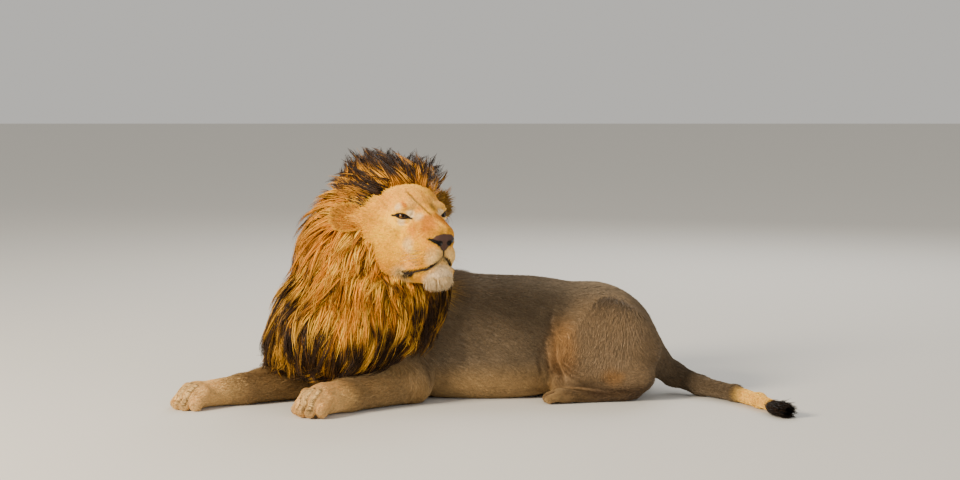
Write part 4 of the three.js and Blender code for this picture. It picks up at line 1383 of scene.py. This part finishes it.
@dataclass
class ShortCoat:
    """The short coat's tufts over face, trunk, legs and tail."""

    lion: Lion
    skin: SkinField
    markings: Markings
    mane: Mane

    COUNT = 140_000
    LIMIT = 49_000  # tufts in one piece

    def wraps(self) -> dict[str, Wrap]:
        """Returns: the unwrap of each region."""
        lion, head = self.lion, self.lion.head.axes
        return {
            "flank": Wrap((-300, 0, 200), (450, 0, 200)),
            "tail": Wrap(lion.tail[0][:3], lion.tail[-1][:3]),
            "face": Wrap(head.outside([-200, 0, -60]), head.outside([100, 0, -60])),
            "haunch_left": Wrap((260, -180, 120), (540, -160, 150)),
            "haunch_right": Wrap((260, 180, 120), (540, 160, 150)),
            "foreleg_left": Wrap(lion.left.elbow, lion.left.paw),
            "foreleg_right": Wrap(lion.right.elbow, lion.right.paw),
        }

    def bare(self, points: Array) -> Array:
        """Args: points: N x 3. Returns: where no tuft grows: under the mane, on nose, lips and lids' rims."""
        nose_or_lips = (self.markings.leather(points) < 1) | (self.skin.mouth.strength(points, 6.2) > 0.4)
        covered = (self.mane.shell.distance(points) < -26) | (points[:, 2] < 2)
        rims = np.max(self.markings.eye_rims(points), axis=0) > 0.2
        return nose_or_lips | covered | rims | (self.skin.between_toes(points) > 0.55)

    def sizes(self, points: Array) -> Array:
        """Args: points: N x 3. Returns: N x 4, a tuft's length, width, thickness and tip's height there."""
        depth = self.skin.depth(points)
        return np.stack([2.9 * depth + 1, 0.75 + 0.41 * depth, 0.3 + 0.08 * depth, 0.6 * depth], 1)

    def tufts(self, surface: Surface) -> Iterator[tuple[str, Hair]]:
        """Args: surface: the skin. Yields: each piece's name and hair."""
        rng = np.random.default_rng(17)
        head = self.lion.head
        middles = surface.middles
        length, width = self.sizes(middles).T[:2]
        density = 1 / (length * width)
        density[self.bare(middles)] = 0
        density *= 1 + 0.8 * falloff(-head.axes.inside(middles)[:, 0], -20, 120)
        count = amount(self.COUNT)
        roots, picks = surface.scattered(density, count, rng)
        normals = surface.facing(picks)
        lie = Lie(self.lion)
        lies, bones = lie.follow(roots, normals)
        lies = unit(lies + np.cross(normals, lies) * rng.normal(scale=0.16, size=(count, 1)))
        sizes = self.sizes(roots) * rng.uniform(0.75, 1.25, (count, 4))
        sizes[:, [0, 3]] *= 1.2 + 2.2 * falloff(self.mane.shell.distance(roots), 0, 70)[:, None]
        from_eye = away_from(roots, *(head.eye(side) for side in SIDES))
        sizes *= np.clip((from_eye - 26) / 34, 0.35, 1)[:, None]
        sizes *= (1 - 0.5 * self.skin.between_toes(roots, 11.0))[:, None]
        colours = self.markings.coat(roots) * rng.uniform(0.84, 1.16, (count, 1))
        regions = np.array([bone[0] for bone in lie.bones] + ["face"])[bones]
        for name, wrap in self.wraps().items():
            chosen = np.flatnonzero(regions == name)
            for piece, some in parcels(f"coat_{name}", chosen, roots[:, 1], self.LIMIT):
                parts = (part[some] for part in (roots, normals, lies, sizes, colours))
                yield piece, short_tufts(*parts, wrap.places(roots[some]))


@dataclass
class Trimmings:
    """The other long hair: chin tuft, ears' fluff, tail brush and whiskers."""

    lion: Lion
    skin: SkinField

    STEPS = 6

    def strands(
        self, roots: Array, starts: Array, ends: Array, outward: Array, lengths: Array, width: tuple,
        colour: Array, tip: Array, wrap: Wrap, rng: np.random.Generator,
    ) -> Hair:
        """Bent strands: each sets out one way and ends another, its direction turning evenly.

        Args:
            roots: N x 3.
            starts, ends, outward: N x 3, the directions at root and tip and away from the body.
            lengths: N.
            width: the least and the greatest width.
            colour, tip: N x 3 colours at root and tip.
            wrap: the unwrap for their map places.
            rng: the source of chance.

        Returns:
            The strands' mesh.
        """
        share = np.linspace(0, 1, self.STEPS)[None, :, None]
        way = unit(starts[:, None] * (1 - share) + ends[:, None] * share)
        steps = way[:, :-1] * (lengths / (self.STEPS - 1))[:, None, None]
        paths = np.concatenate([roots[:, None], roots[:, None] + np.cumsum(steps, axis=1)], 1)
        paths[..., 2] = np.maximum(paths[..., 2], 3.0)
        colours = colour[:, None] * (1 - share) + tip[:, None] * share
        out = np.repeat(outward[:, None], self.STEPS, axis=1)
        return long_strands(paths, out, rng.uniform(*width, len(roots)), colours, wrap.places(roots))

    def chin(self, surface: Surface) -> Hair:
        """Args: surface: the skin. Returns: the pale tuft that hangs from the chin."""
        rng = np.random.default_rng(5)
        count = 1200
        head = self.lion.head.axes
        f, l, u = head.inside(surface.middles).T
        density = falloff(u, -218, -206) * falloff(-f, -60, -30) * falloff(np.hypot(f - 84, l), 38, 52)
        roots, picks = surface.scattered(density, count, rng)
        normals = surface.facing(picks)
        down = unit(head.turned([[0.16, 0, -1.0]]))
        start = unit(normals * 0.7 + down + rng.normal(scale=0.15, size=normals.shape))
        end = unit(down + rng.normal(scale=0.2, size=normals.shape))
        lengths = rng.uniform(12, 30, count)
        colour = Tone.PALE.rgb * rng.uniform(0.7, 1.0, (count, 1))
        tip = Tone.CREAM.rgb * rng.uniform(0.8, 1.05, (count, 1))
        wrap = Wrap(head.outside([84, 0, -150]), head.outside([84, 0, -260]), (1, 0, 0))
        return self.strands(roots, start, end, normals, lengths, (1.6, 2.8), colour, tip, wrap, rng)

    def brush(self) -> Hair:
        """Returns: the black brush at the tail's end."""
        rng = np.random.default_rng(9)
        count = 1400
        axes = Axes((972, -446, 23), -66)
        around = rng.uniform(0, TURN, count)
        along = rng.uniform(-58, 40, count)
        radius = 22 * np.sqrt(rng.uniform(0.3, 1, count)) * (1 - 0.4 * np.abs(along) / 60)
        out = np.stack([np.zeros(count), np.cos(around), np.sin(around) * 0.8], 1)
        roots = axes.outside(along[:, None] * [1, 0, 0] + out * radius[:, None])
        out, ahead = axes.turned(out), axes.turned([[1.0, 0, -0.05]])
        start = unit(out * 0.45 + ahead + rng.normal(scale=0.1, size=out.shape))
        end = unit(ahead - out * 0.1 + rng.normal(scale=0.2, size=out.shape))
        lengths = np.minimum(rng.uniform(35, 75, count), 84 - along)
        colour = Tone.BLACK.rgb * rng.uniform(0.6, 1.5, (count, 1))
        tip = np.where(rng.uniform(size=(count, 1)) < 0.25, Tone.UMBER.rgb, colour)
        wrap = Wrap(axes.outside([-80, 0, 0]), axes.outside([80, 0, 0]))
        return self.strands(roots, start, end, out, lengths, (2.4, 4.2), colour, tip, wrap, rng)

    def ear_fluff(self, ear: "Ear") -> Hair:
        """Args: ear: one ear. Returns: the long hair inside it and the fringe on its rim."""
        rng = np.random.default_rng(12 if ear.side > 0 else 13)
        count = 850
        axes = ear.axes
        turn = rng.uniform(0, TURN, count)
        fringe = rng.uniform(size=count) < 0.45
        radius = np.where(fringe, rng.uniform(0.9, 1.0, count), rng.uniform(0.1, 0.9, count))
        roots = axes.outside(ear.inner(radius, turn))
        out = axes.turned([[1.0, 0, 0]]) * np.ones((count, 1))
        rise = axes.turned(np.stack([0 * turn, np.cos(turn), np.sin(turn)], 1))
        sweep = axes.turned([[0.35, ear.side * 0.9, 0.25]])
        start = unit(out * 0.6 + sweep + 0.3 * rise + rng.normal(scale=0.15, size=out.shape))
        end = unit(sweep + 0.5 * rise * radius[:, None] + rng.normal(scale=0.2, size=out.shape))
        lengths = rng.uniform(16, 46, count) * (1 - 0.5 * (radius > 0.9))
        # Painted shade: the far ear's fluff, on the left, is darkened to 0.36.
        shade = 1.0 if ear.side < 0 else 0.36
        colour = Tone.EAR.rgb * shade * rng.uniform(0.7, 1.1, (count, 1))
        tip = np.where((radius > 0.9)[:, None], Tone.CHEEK.rgb * shade * 1.1, colour * 1.2)
        wrap = Wrap(axes.outside([-30, 0, 0]), axes.outside([30, 0, 0]))
        return self.strands(roots, start, end, out, lengths, (1.8, 3.2), colour, tip, wrap, rng)

    def whiskers(self) -> Hair:
        """Returns: the whiskers, rows of stiff pale hairs on each side of the muzzle."""
        rng = np.random.default_rng(3)
        head = self.lion.head.axes
        roots, starts = [], []
        for side in SIDES:
            for row, (f, l, u) in enumerate(Markings.WHISKER_ROWS):
                for i in range(4):
                    roots.append((f - 11 * i - 6, side * (l + 1.5 * i), u + 0.6 * i))
                    starts.append((-0.25 - 0.12 * i, side, 0.12 - 0.12 * row))
        roots = settle(self.skin, head.outside(roots), -1.5, 3)
        each = np.ones((len(roots), 1))
        starts = unit(head.turned(starts) + rng.normal(scale=0.08, size=roots.shape))
        ends = unit(starts + head.turned([[-0.5, 0, -0.35]]))
        white, up = Tone.CREAM.rgb * each, head.turned([[0, 0, 1.0]]) * each
        lengths = rng.uniform(60, 110, len(roots))
        wrap = Wrap(head.outside([120, 0, -140]), head.outside([0, 0, -140]))
        return self.strands(roots, starts, ends, up, lengths, (0.9, 1.1), white, white, wrap, rng)


@dataclass(frozen=True)
class Ear:
    """One round cupped ear: its back is a shallow bowl, 26 mm deep, and its wall thins to the rim."""

    head: Axes
    side: float

    HALF_WIDTH = 62.0
    HALF_HEIGHT = 52.0
    WALL = 6.0
    RINGS = 18
    AROUND = 56

    @property
    def axes(self) -> Axes:
        """Returns: the ear's axes, X out of its cup and Z up."""
        local = Axes((-186, self.side * 172, Head.EAR_RISE[self.side]), self.side * 22, 12)
        matrix = self.head.matrix @ local.matrix
        yaw, roll = math.atan2(matrix[1, 0], matrix[0, 0]), math.atan2(matrix[2, 1], matrix[2, 2])
        turns = map(math.degrees, (yaw, math.asin(matrix[2, 0]), roll))
        return Axes(tuple(self.head.outside(local.origin)), *turns)

    def back(self, radius: Array, turn: Array) -> Array:
        """Args: radius: 0 at the middle, 1 at the rim. turn: angle. Returns: points of the back."""
        y = self.HALF_WIDTH * radius * np.cos(turn)
        z = self.HALF_HEIGHT * radius * np.sin(turn) * (1 + 0.10 * np.cos(2 * turn) * radius)
        return np.stack([-16 + 26 * radius**2.2, y, z], -1)

    def inner(self, radius: Array, turn: Array) -> Array:
        """Args: radius, turn: as for the back. Returns: points of the cup's inside."""
        found = self.back(radius, turn)
        found[..., 0] += self.WALL * (1 - radius**6) + 0.2
        return found

    def surface(self) -> Surface:
        """Returns: the closed shell."""
        radius = np.concatenate([np.linspace(0.02, 1, self.RINGS), np.linspace(1, 0.02, self.RINGS)[1:]])
        r, a = np.meshgrid(radius, np.linspace(0, TURN, self.AROUND, endpoint=False), indexing="ij")
        grid = self.back(r, a)
        grid[self.RINGS:] = self.inner(r[self.RINGS:], a[self.RINGS:])
        middle = np.zeros(1)
        points = np.vstack([grid.reshape(-1, 3), self.back(middle, middle), self.inner(middle, middle)])
        return Surface(self.axes.outside(points), ball_faces(len(radius), self.AROUND))


@dataclass(frozen=True)
class Eye:
    """One eyeball with its bulging cornea: radius + bulge * exp(-(angle from the gaze / 0.45) squared)."""

    head: Head
    side: float

    BULGE = 1.4
    ROWS = 40
    AROUND = 48

    def surface(self) -> tuple[Surface, Array]:
        """Returns: the ball and each vertex's map place: angle from the gaze and turn, from 0 to 1."""
        angle = np.linspace(0.02, math.pi - 0.02, self.ROWS)
        a, t = np.meshgrid(angle, np.linspace(0, TURN, self.AROUND, endpoint=False), indexing="ij")
        radius = self.head.eye_radius + self.BULGE * np.exp(-((a / 0.45) ** 2))
        grid = radius[..., None] * np.stack([np.cos(a), np.sin(a) * np.cos(t), np.sin(a) * np.sin(t)], -1)
        ends = [[self.head.eye_radius + self.BULGE, 0, 0], [-self.head.eye_radius, 0, 0]]
        points = np.vstack([grid.reshape(-1, 3), ends])
        places = np.vstack([np.stack([a / math.pi, t / TURN], -1).reshape(-1, 2), [[0, 0.5], [1, 0.5]]])
        axes = self.head.eye_axes(self.side)
        gaze = Axes(axes.origin, axes.yaw - self.side * 10, axes.pitch + 2, axes.roll)
        return Surface(gaze.outside(points), ball_faces(self.ROWS, self.AROUND)), places


# ---------------------------------------------------------------- finishes


class Finish:
    """A material in the making: its nodes, and the ways of shading that several finishes share."""

    def __init__(self, name: str) -> None:
        """Args: name: the material's."""
        self.material = bpy.data.materials.new(name)
        self.material.use_nodes = True
        self.tree = self.material.node_tree
        self.tree.nodes.clear()

    def add(self, kind: str, inputs: dict | None = None, **settings: object) -> bpy.types.bpy_prop_collection:
        """Adds a node with its settings and links.

        Args:
            kind: its type, less the word ShaderNode.
            inputs: for each socket a value, or the output that is linked to it.
            settings: its properties.

        Returns:
            Its outputs.
        """
        made = self.tree.nodes.new("ShaderNode" + kind)
        for key, value in settings.items():
            setattr(made, key, value)
        for key, value in (inputs or {}).items():
            if isinstance(value, bpy.types.NodeSocket):
                self.tree.links.new(value, made.inputs[key])
            else:
                made.inputs[key].default_value = value
        return made.outputs

    def coat_colour(self) -> bpy.types.NodeSocket:
        """Returns: the colour that comes with the mesh."""
        return self.add("Attribute", attribute_name="coat")["Color"]

    def texture(self, kind: str, size_mm: float, scale: Point | None = None, **more: float) -> object:
        """Args: kind: its type. size_mm: of a grain. scale: of space. more: inputs. Returns: its output."""
        place = self.add("TexCoord")["Object"]
        if scale:
            place = self.add("Mapping", {"Vector": place, "Scale": scale})["Vector"]
        return self.add(kind, {"Vector": place, "Scale": 1 / (size_mm * METRES), **more})[0]

    def varied(self, colour: object, grain: object, low: float, high: float) -> object:
        """Args: colour, grain: outputs. low, high: limits. Returns: the colour scaled by the grain."""
        limits = {"From Min": 0.3, "From Max": 0.7, "To Min": low, "To Max": high}
        value = self.add("MapRange", {"Value": grain, **limits})["Result"]
        return self.add("VectorMath", {0: colour, "Scale": value}, operation="SCALE")["Vector"]

    def done(self, colour: object, roughness: float, specular: float, **more: object) -> bpy.types.Material:
        """Args: colour, roughness, specular, more: the surface's inputs. Returns: the finished material."""
        inputs = {"Base Color": colour, "Roughness": roughness, "Specular IOR Level": specular, **more}
        self.add("OutputMaterial", {"Surface": self.add("BsdfPrincipled", inputs)["BSDF"]})
        return self.material


def hair_finish(name: str, roughness: float) -> bpy.types.Material:
    """Args: name, roughness: the material's. Returns: satin hair whose colour comes with each strand."""
    made = Finish(name)
    grain = made.texture("TexNoise", 9.0, Detail=2.0)
    return made.done(made.varied(made.coat_colour(), grain, 0.84, 1.16), roughness, 0.2)


def skin_finish() -> bpy.types.Material:
    """Returns: skin with a short velvety pile, its colour broken up hair by hair, over a fine relief."""
    made = Finish("short_pile_skin")
    coarse_mm = 3.0  # coarser than real hair, so that it shows
    pile = made.texture("TexNoise", coarse_mm, (0.3, 1.0, 0.8), Detail=3.0)
    bump = made.add("Bump", {"Height": pile, "Strength": 0.35, "Distance": 0.0015})
    return made.done(made.varied(made.coat_colour(), pile, 0.8, 1.12), 0.62, 0.25, Normal=bump["Normal"])


def leather_finish() -> bpy.types.Material:
    """Returns: bare nose and lip skin: moist, pebbled, with a soft wet gloss."""
    made = Finish("moist_nose_leather")
    bump = made.add("Bump", {"Height": made.texture("TexVoronoi", 2.4), "Strength": 0.4, "Distance": 0.001})
    return made.done(made.coat_colour(), 0.5, 0.3, Normal=bump["Normal"])


def eye_finish() -> bpy.types.Material:
    """Returns: a clear cornea over an amber iris darkened in part as painted shade, a round pupil and a dark
    white of the eye.
    """
    pupil, iris = 0.052, 0.24  # as shares of the half turn from the gaze to the back of the ball
    made = Finish("clear_cornea_over_amber_iris")
    chart = made.add("UVMap", uv_map="Eye")["UV"]
    angle = made.add("SeparateXYZ", {"Vector": chart})["X"]
    colour = made.add("ValToRGB", {"Fac": angle})["Color"]
    elements = colour.node.color_ramp.elements
    # The iris stops are dark brown rather than a lit amber, partly painted shade from the brow.
    stops = (
        (0.0, "030202"), (pupil, "030202"), (pupil + 0.012, "4E3210"), (iris * 0.6, "7A5218"),
        (iris, "4E3010"), (iris + 0.012, "120B07"), (iris + 0.05, "38261E"),
    )
    for position, _ in stops[1:-1]:
        elements.new(position)
    for element, (position, code) in zip(elements, stops):
        element.position = position
        element.color = (*linear(code), 1)
    rays = made.add("Mapping", {"Vector": chart, "Scale": (4, 40, 1)})["Vector"]
    streaks = made.add("TexNoise", {"Vector": rays, "Scale": 1.0, "Detail": 2.0})["Fac"]
    clear = {"Coat Weight": 0.35, "Coat Roughness": 0.04, "Coat IOR": 1.376}
    return made.done(made.varied(colour, streaks, 0.7, 1.15), 0.4, 0.1, **clear)


def floor_finish() -> bpy.types.Material:
    """Returns: a matt studio floor of one pale colour."""
    return Finish("pale_studio_floor").done((*linear("D9D6CF"), 1), 0.9, 0.1)


# ---------------------------------------------------------------- pieces


@dataclass
class Workshop:
    """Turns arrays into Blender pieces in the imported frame."""

    shift: Array

    def piece(
        self, name: str, points: Array, faces: Array, materials: Sequence[bpy.types.Material], slot: str,
        colours: Array | None = None, chart: tuple[str, Array] | None = None, smooth: bool = True,
        painted: Array | None = None,
    ) -> bpy.types.Object:
        """Makes one piece that rides on the body.

        Args:
            name: the piece's.
            points: N x 3, in millimetres in the lion's axes.
            faces: M x 3.
            materials: its materials.
            slot: the record's material slot; not used.
            colours: N x 3, if it is coloured vertex by vertex.
            chart: a map's name and N x 2 places.
            smooth: shade it smooth.
            painted: M material numbers.

        Returns:
            The object.
        """
        mesh = bpy.data.meshes.new(name)
        count = len(faces)
        mesh.vertices.add(len(points))
        mesh.vertices.foreach_set("co", ((points + self.shift) * METRES).astype(np.float32).ravel())
        mesh.loops.add(3 * count)
        mesh.loops.foreach_set("vertex_index", faces.astype(np.int32).ravel())
        mesh.polygons.add(count)
        mesh.polygons.foreach_set("loop_start", np.arange(0, 3 * count, 3, dtype=np.int32))
        mesh.polygons.foreach_set("use_smooth", np.full(count, smooth))
        for material in materials:
            mesh.materials.append(material)
        if painted is not None:
            mesh.polygons.foreach_set("material_index", painted.astype(np.int32))
        mesh.update(calc_edges=True)
        if chart:
            layer = mesh.uv_layers.new(name=chart[0])
            layer.data.foreach_set("uv", chart[1][faces.ravel()].astype(np.float32).ravel())
        if colours is not None:
            attribute = mesh.attributes.new("coat", "FLOAT_COLOR", "POINT")
            full = np.concatenate([colours, np.ones((len(colours), 1))], 1)
            attribute.data.foreach_set("color", full.astype(np.float32).ravel())
        made = bpy.data.objects.new(name, mesh)
        bpy.context.scene.collection.objects.link(made)
        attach(made, "root")
        log.info("%s: %d triangles", name, count)
        return made

    def hair(
        self, name: str, hair: Hair, material: bpy.types.Material, slot: str, smooth: bool,
    ) -> bpy.types.Object:
        """Args: name, hair, material, slot, smooth: as for a piece. Returns: the object."""
        chart = ("OFBake", hair.places)
        return self.piece(name, hair.points, hair.faces, [material], slot, hair.colours, chart, smooth)


@dataclass
class Stage:
    """The pale floor, the soft lights and the camera."""

    shift: Array

    FOCAL = 73.125
    SENSOR = 36.0
    DISTANCE = 6.75
    HEIGHT = 1.15
    TILT = 5.216
    HALF_FLOOR = 30.0
    FLOOR = -0.0005

    def add(self, name: str, data: bpy.types.ID) -> bpy.types.Object:
        """Args: name: the new object's. data: what it shows. Returns: it."""
        made = bpy.data.objects.new(name, data)
        bpy.context.scene.collection.objects.link(made)
        return made

    def floor(self) -> None:
        """Lays the floor, a wide square just under the paws."""
        mesh = bpy.data.meshes.new("floor")
        half, signs = self.HALF_FLOOR, ((-1, -1), (1, -1), (1, 1), (-1, 1))
        mesh.from_pydata([(x * half, y * half, self.FLOOR) for x, y in signs], [], [(0, 1, 2, 3)])
        mesh.materials.append(floor_finish())
        floor = self.add("floor", mesh)

    def lamp(self, name: str, place: Point, size: float, power: float, code: str = "FFFFFF") -> None:
        """Args: name, place, size, power, code: of a square lamp that faces the lion."""
        light = bpy.data.lights.new(name, "AREA")
        light.size, light.energy, light.color = size, power, linear(code)
        made = self.add(name, light)
        made.location = place
        made.rotation_euler = (Vector((0, 0, 0.35)) - Vector(place)).to_track_quat("-Z", "Y").to_euler()

    def build(self) -> None:
        """Sets everything up."""
        self.floor()
        self.lamp("key", (-5.4, -3.6, 3.6), 1.8, 860, "FFEFD6")
        self.lamp("fill", (4.5, -4.0, 2.6), 4.0, 60, "F2F5FF")
        self.lamp("back", (1.5, 4.5, 4.0), 3.5, 160)
        world = bpy.data.worlds.new("studio")
        world.use_nodes = True
        background = world.node_tree.nodes["Background"].inputs
        background["Color"].default_value = (*linear("F3F0EA"), 1)
        background["Strength"].default_value = 0.65
        bpy.context.scene.world = world
        lens = bpy.data.cameras.new("camera")
        lens.lens, lens.sensor_width = self.FOCAL, self.SENSOR
        camera = self.add("camera", lens)
        camera.location = (self.shift[0] * METRES, -self.DISTANCE + self.shift[1] * METRES, self.HEIGHT)
        camera.rotation_euler = (math.radians(90 - self.TILT), 0, 0)
        bpy.context.scene.camera = camera


FLESH_NODES = (
    ["head", "lower_jaw", "nose", "ear_left", "ear_right", "neck", "trunk"]
    + ["tail_base", "tail_middle", "tail_end"]
    + [f"{part}_{side}" for part in ("upper_arm", "forearm", "forepaw", "thigh", "shank", "hind_foot")
       for side in ("left", "right")]
)
MANE_NODES = ("mane_crest", "mane_left", "mane_right", "mane_breast")


def lay_skin(shop: Workshop, markings: Markings, mane: Mane, surface: Surface, ears: list[Ear]) -> None:
    """Args: shop: makes it. markings, mane: colour it. surface, ears: what is joined into one skin."""
    parts = [surface] + [ear.surface() for ear in ears]
    offsets = np.cumsum([0] + [len(part.points) for part in parts[:-1]])
    points = np.vstack([part.points for part in parts])
    faces = np.vstack([part.faces + offset for part, offset in zip(parts, offsets)])
    colours = markings.coat(points)
    # Painted shade: the skin deep under the mane is darkened towards umber.
    under = falloff(mane.shell.distance(surface.points), -40, -8)[:, None]
    count = len(surface.points)
    colours[:count] = colours[:count] * (1 - under) + Tone.UMBER.rgb * 0.7 * under
    colours[count:] = Tone.EAR.rgb * 0.75
    painted = np.zeros(len(faces), int)
    painted[:len(surface.faces)] = markings.leather(surface.middles) < 1
    finishes = [skin_finish(), leather_finish()]
    skin = shop.piece("skin", points, faces, finishes, "body_coat", colours, painted=painted)
    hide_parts(*FLESH_NODES)


def main() -> None:
    """Builds the lion piece by piece."""
    logging.basicConfig(level=logging.INFO, format="%(message)s")
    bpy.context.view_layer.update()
    lion = Lion()
    low, high = (np.array(corner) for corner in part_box("eye_right"))
    shift = (low + high) / 2 / METRES - lion.head.eye(-1.0)
    log.info("shift %s", np.round(shift, 2))
    Stage(shift).build()
    shop = Workshop(shift)
    skin_field = SkinField(lion)
    markings = Markings(lion, skin_field)
    mane = Mane(lion, markings)
    surface = skin_field.surface()
    ears = [Ear(lion.head.axes, side) for side in SIDES]
    lay_skin(shop, markings, mane, surface, ears)

    glassy = eye_finish()
    for side, name in ((1.0, "left"), (-1.0, "right")):
        ball, places = Eye(lion.head, side).surface()
        chart = ("Eye", places)
        eyeball = shop.piece(f"eyeball_{name}", ball.points, ball.faces, [glassy], "eyes", chart=chart)
        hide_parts(f"eye_{name}")

    long_hair, short_hair = hair_finish("mane_hair", 0.48), hair_finish("short_coat", 0.6)
    under = mane.undercoat()
    count = len(under.points)
    # Painted shade inside the mane: the undercoat takes the mane's colour near the roots, darkened to 0.7.
    shade = mane.colours(under.points, np.full(count, 0.2), np.zeros(count)) * 0.7
    under_piece = shop.piece("mane_undercoat", under.points, under.faces, [long_hair], "mane_hair", shade)
    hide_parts(*MANE_NODES)
    for name, hair in mane.locks(surface, under):
        shop.hair(name, hair, long_hair, "mane_hair", True)
    for name, hair in ShortCoat(lion, skin_field, markings, mane).tufts(surface):
        shop.hair(name, hair, short_hair, "face_coat" if "face" in name else "body_coat", False)

    trimmings = Trimmings(lion, skin_field)
    brush = shop.hair("tail_brush", trimmings.brush(), long_hair, "dark_hair", True)
    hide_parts("tail_tuft")
    shop.hair("chin_tuft", trimmings.chin(surface), long_hair, "chin_coat", True)
    for ear, name in zip(ears, ("right", "left")):
        shop.hair(f"ear_fluff_{name}", trimmings.ear_fluff(ear), long_hair, "mane_hair", True)
    shop.hair("whiskers", trimmings.whiskers(), long_hair, "chin_coat", True)


if __name__ == "__main__":
    main()
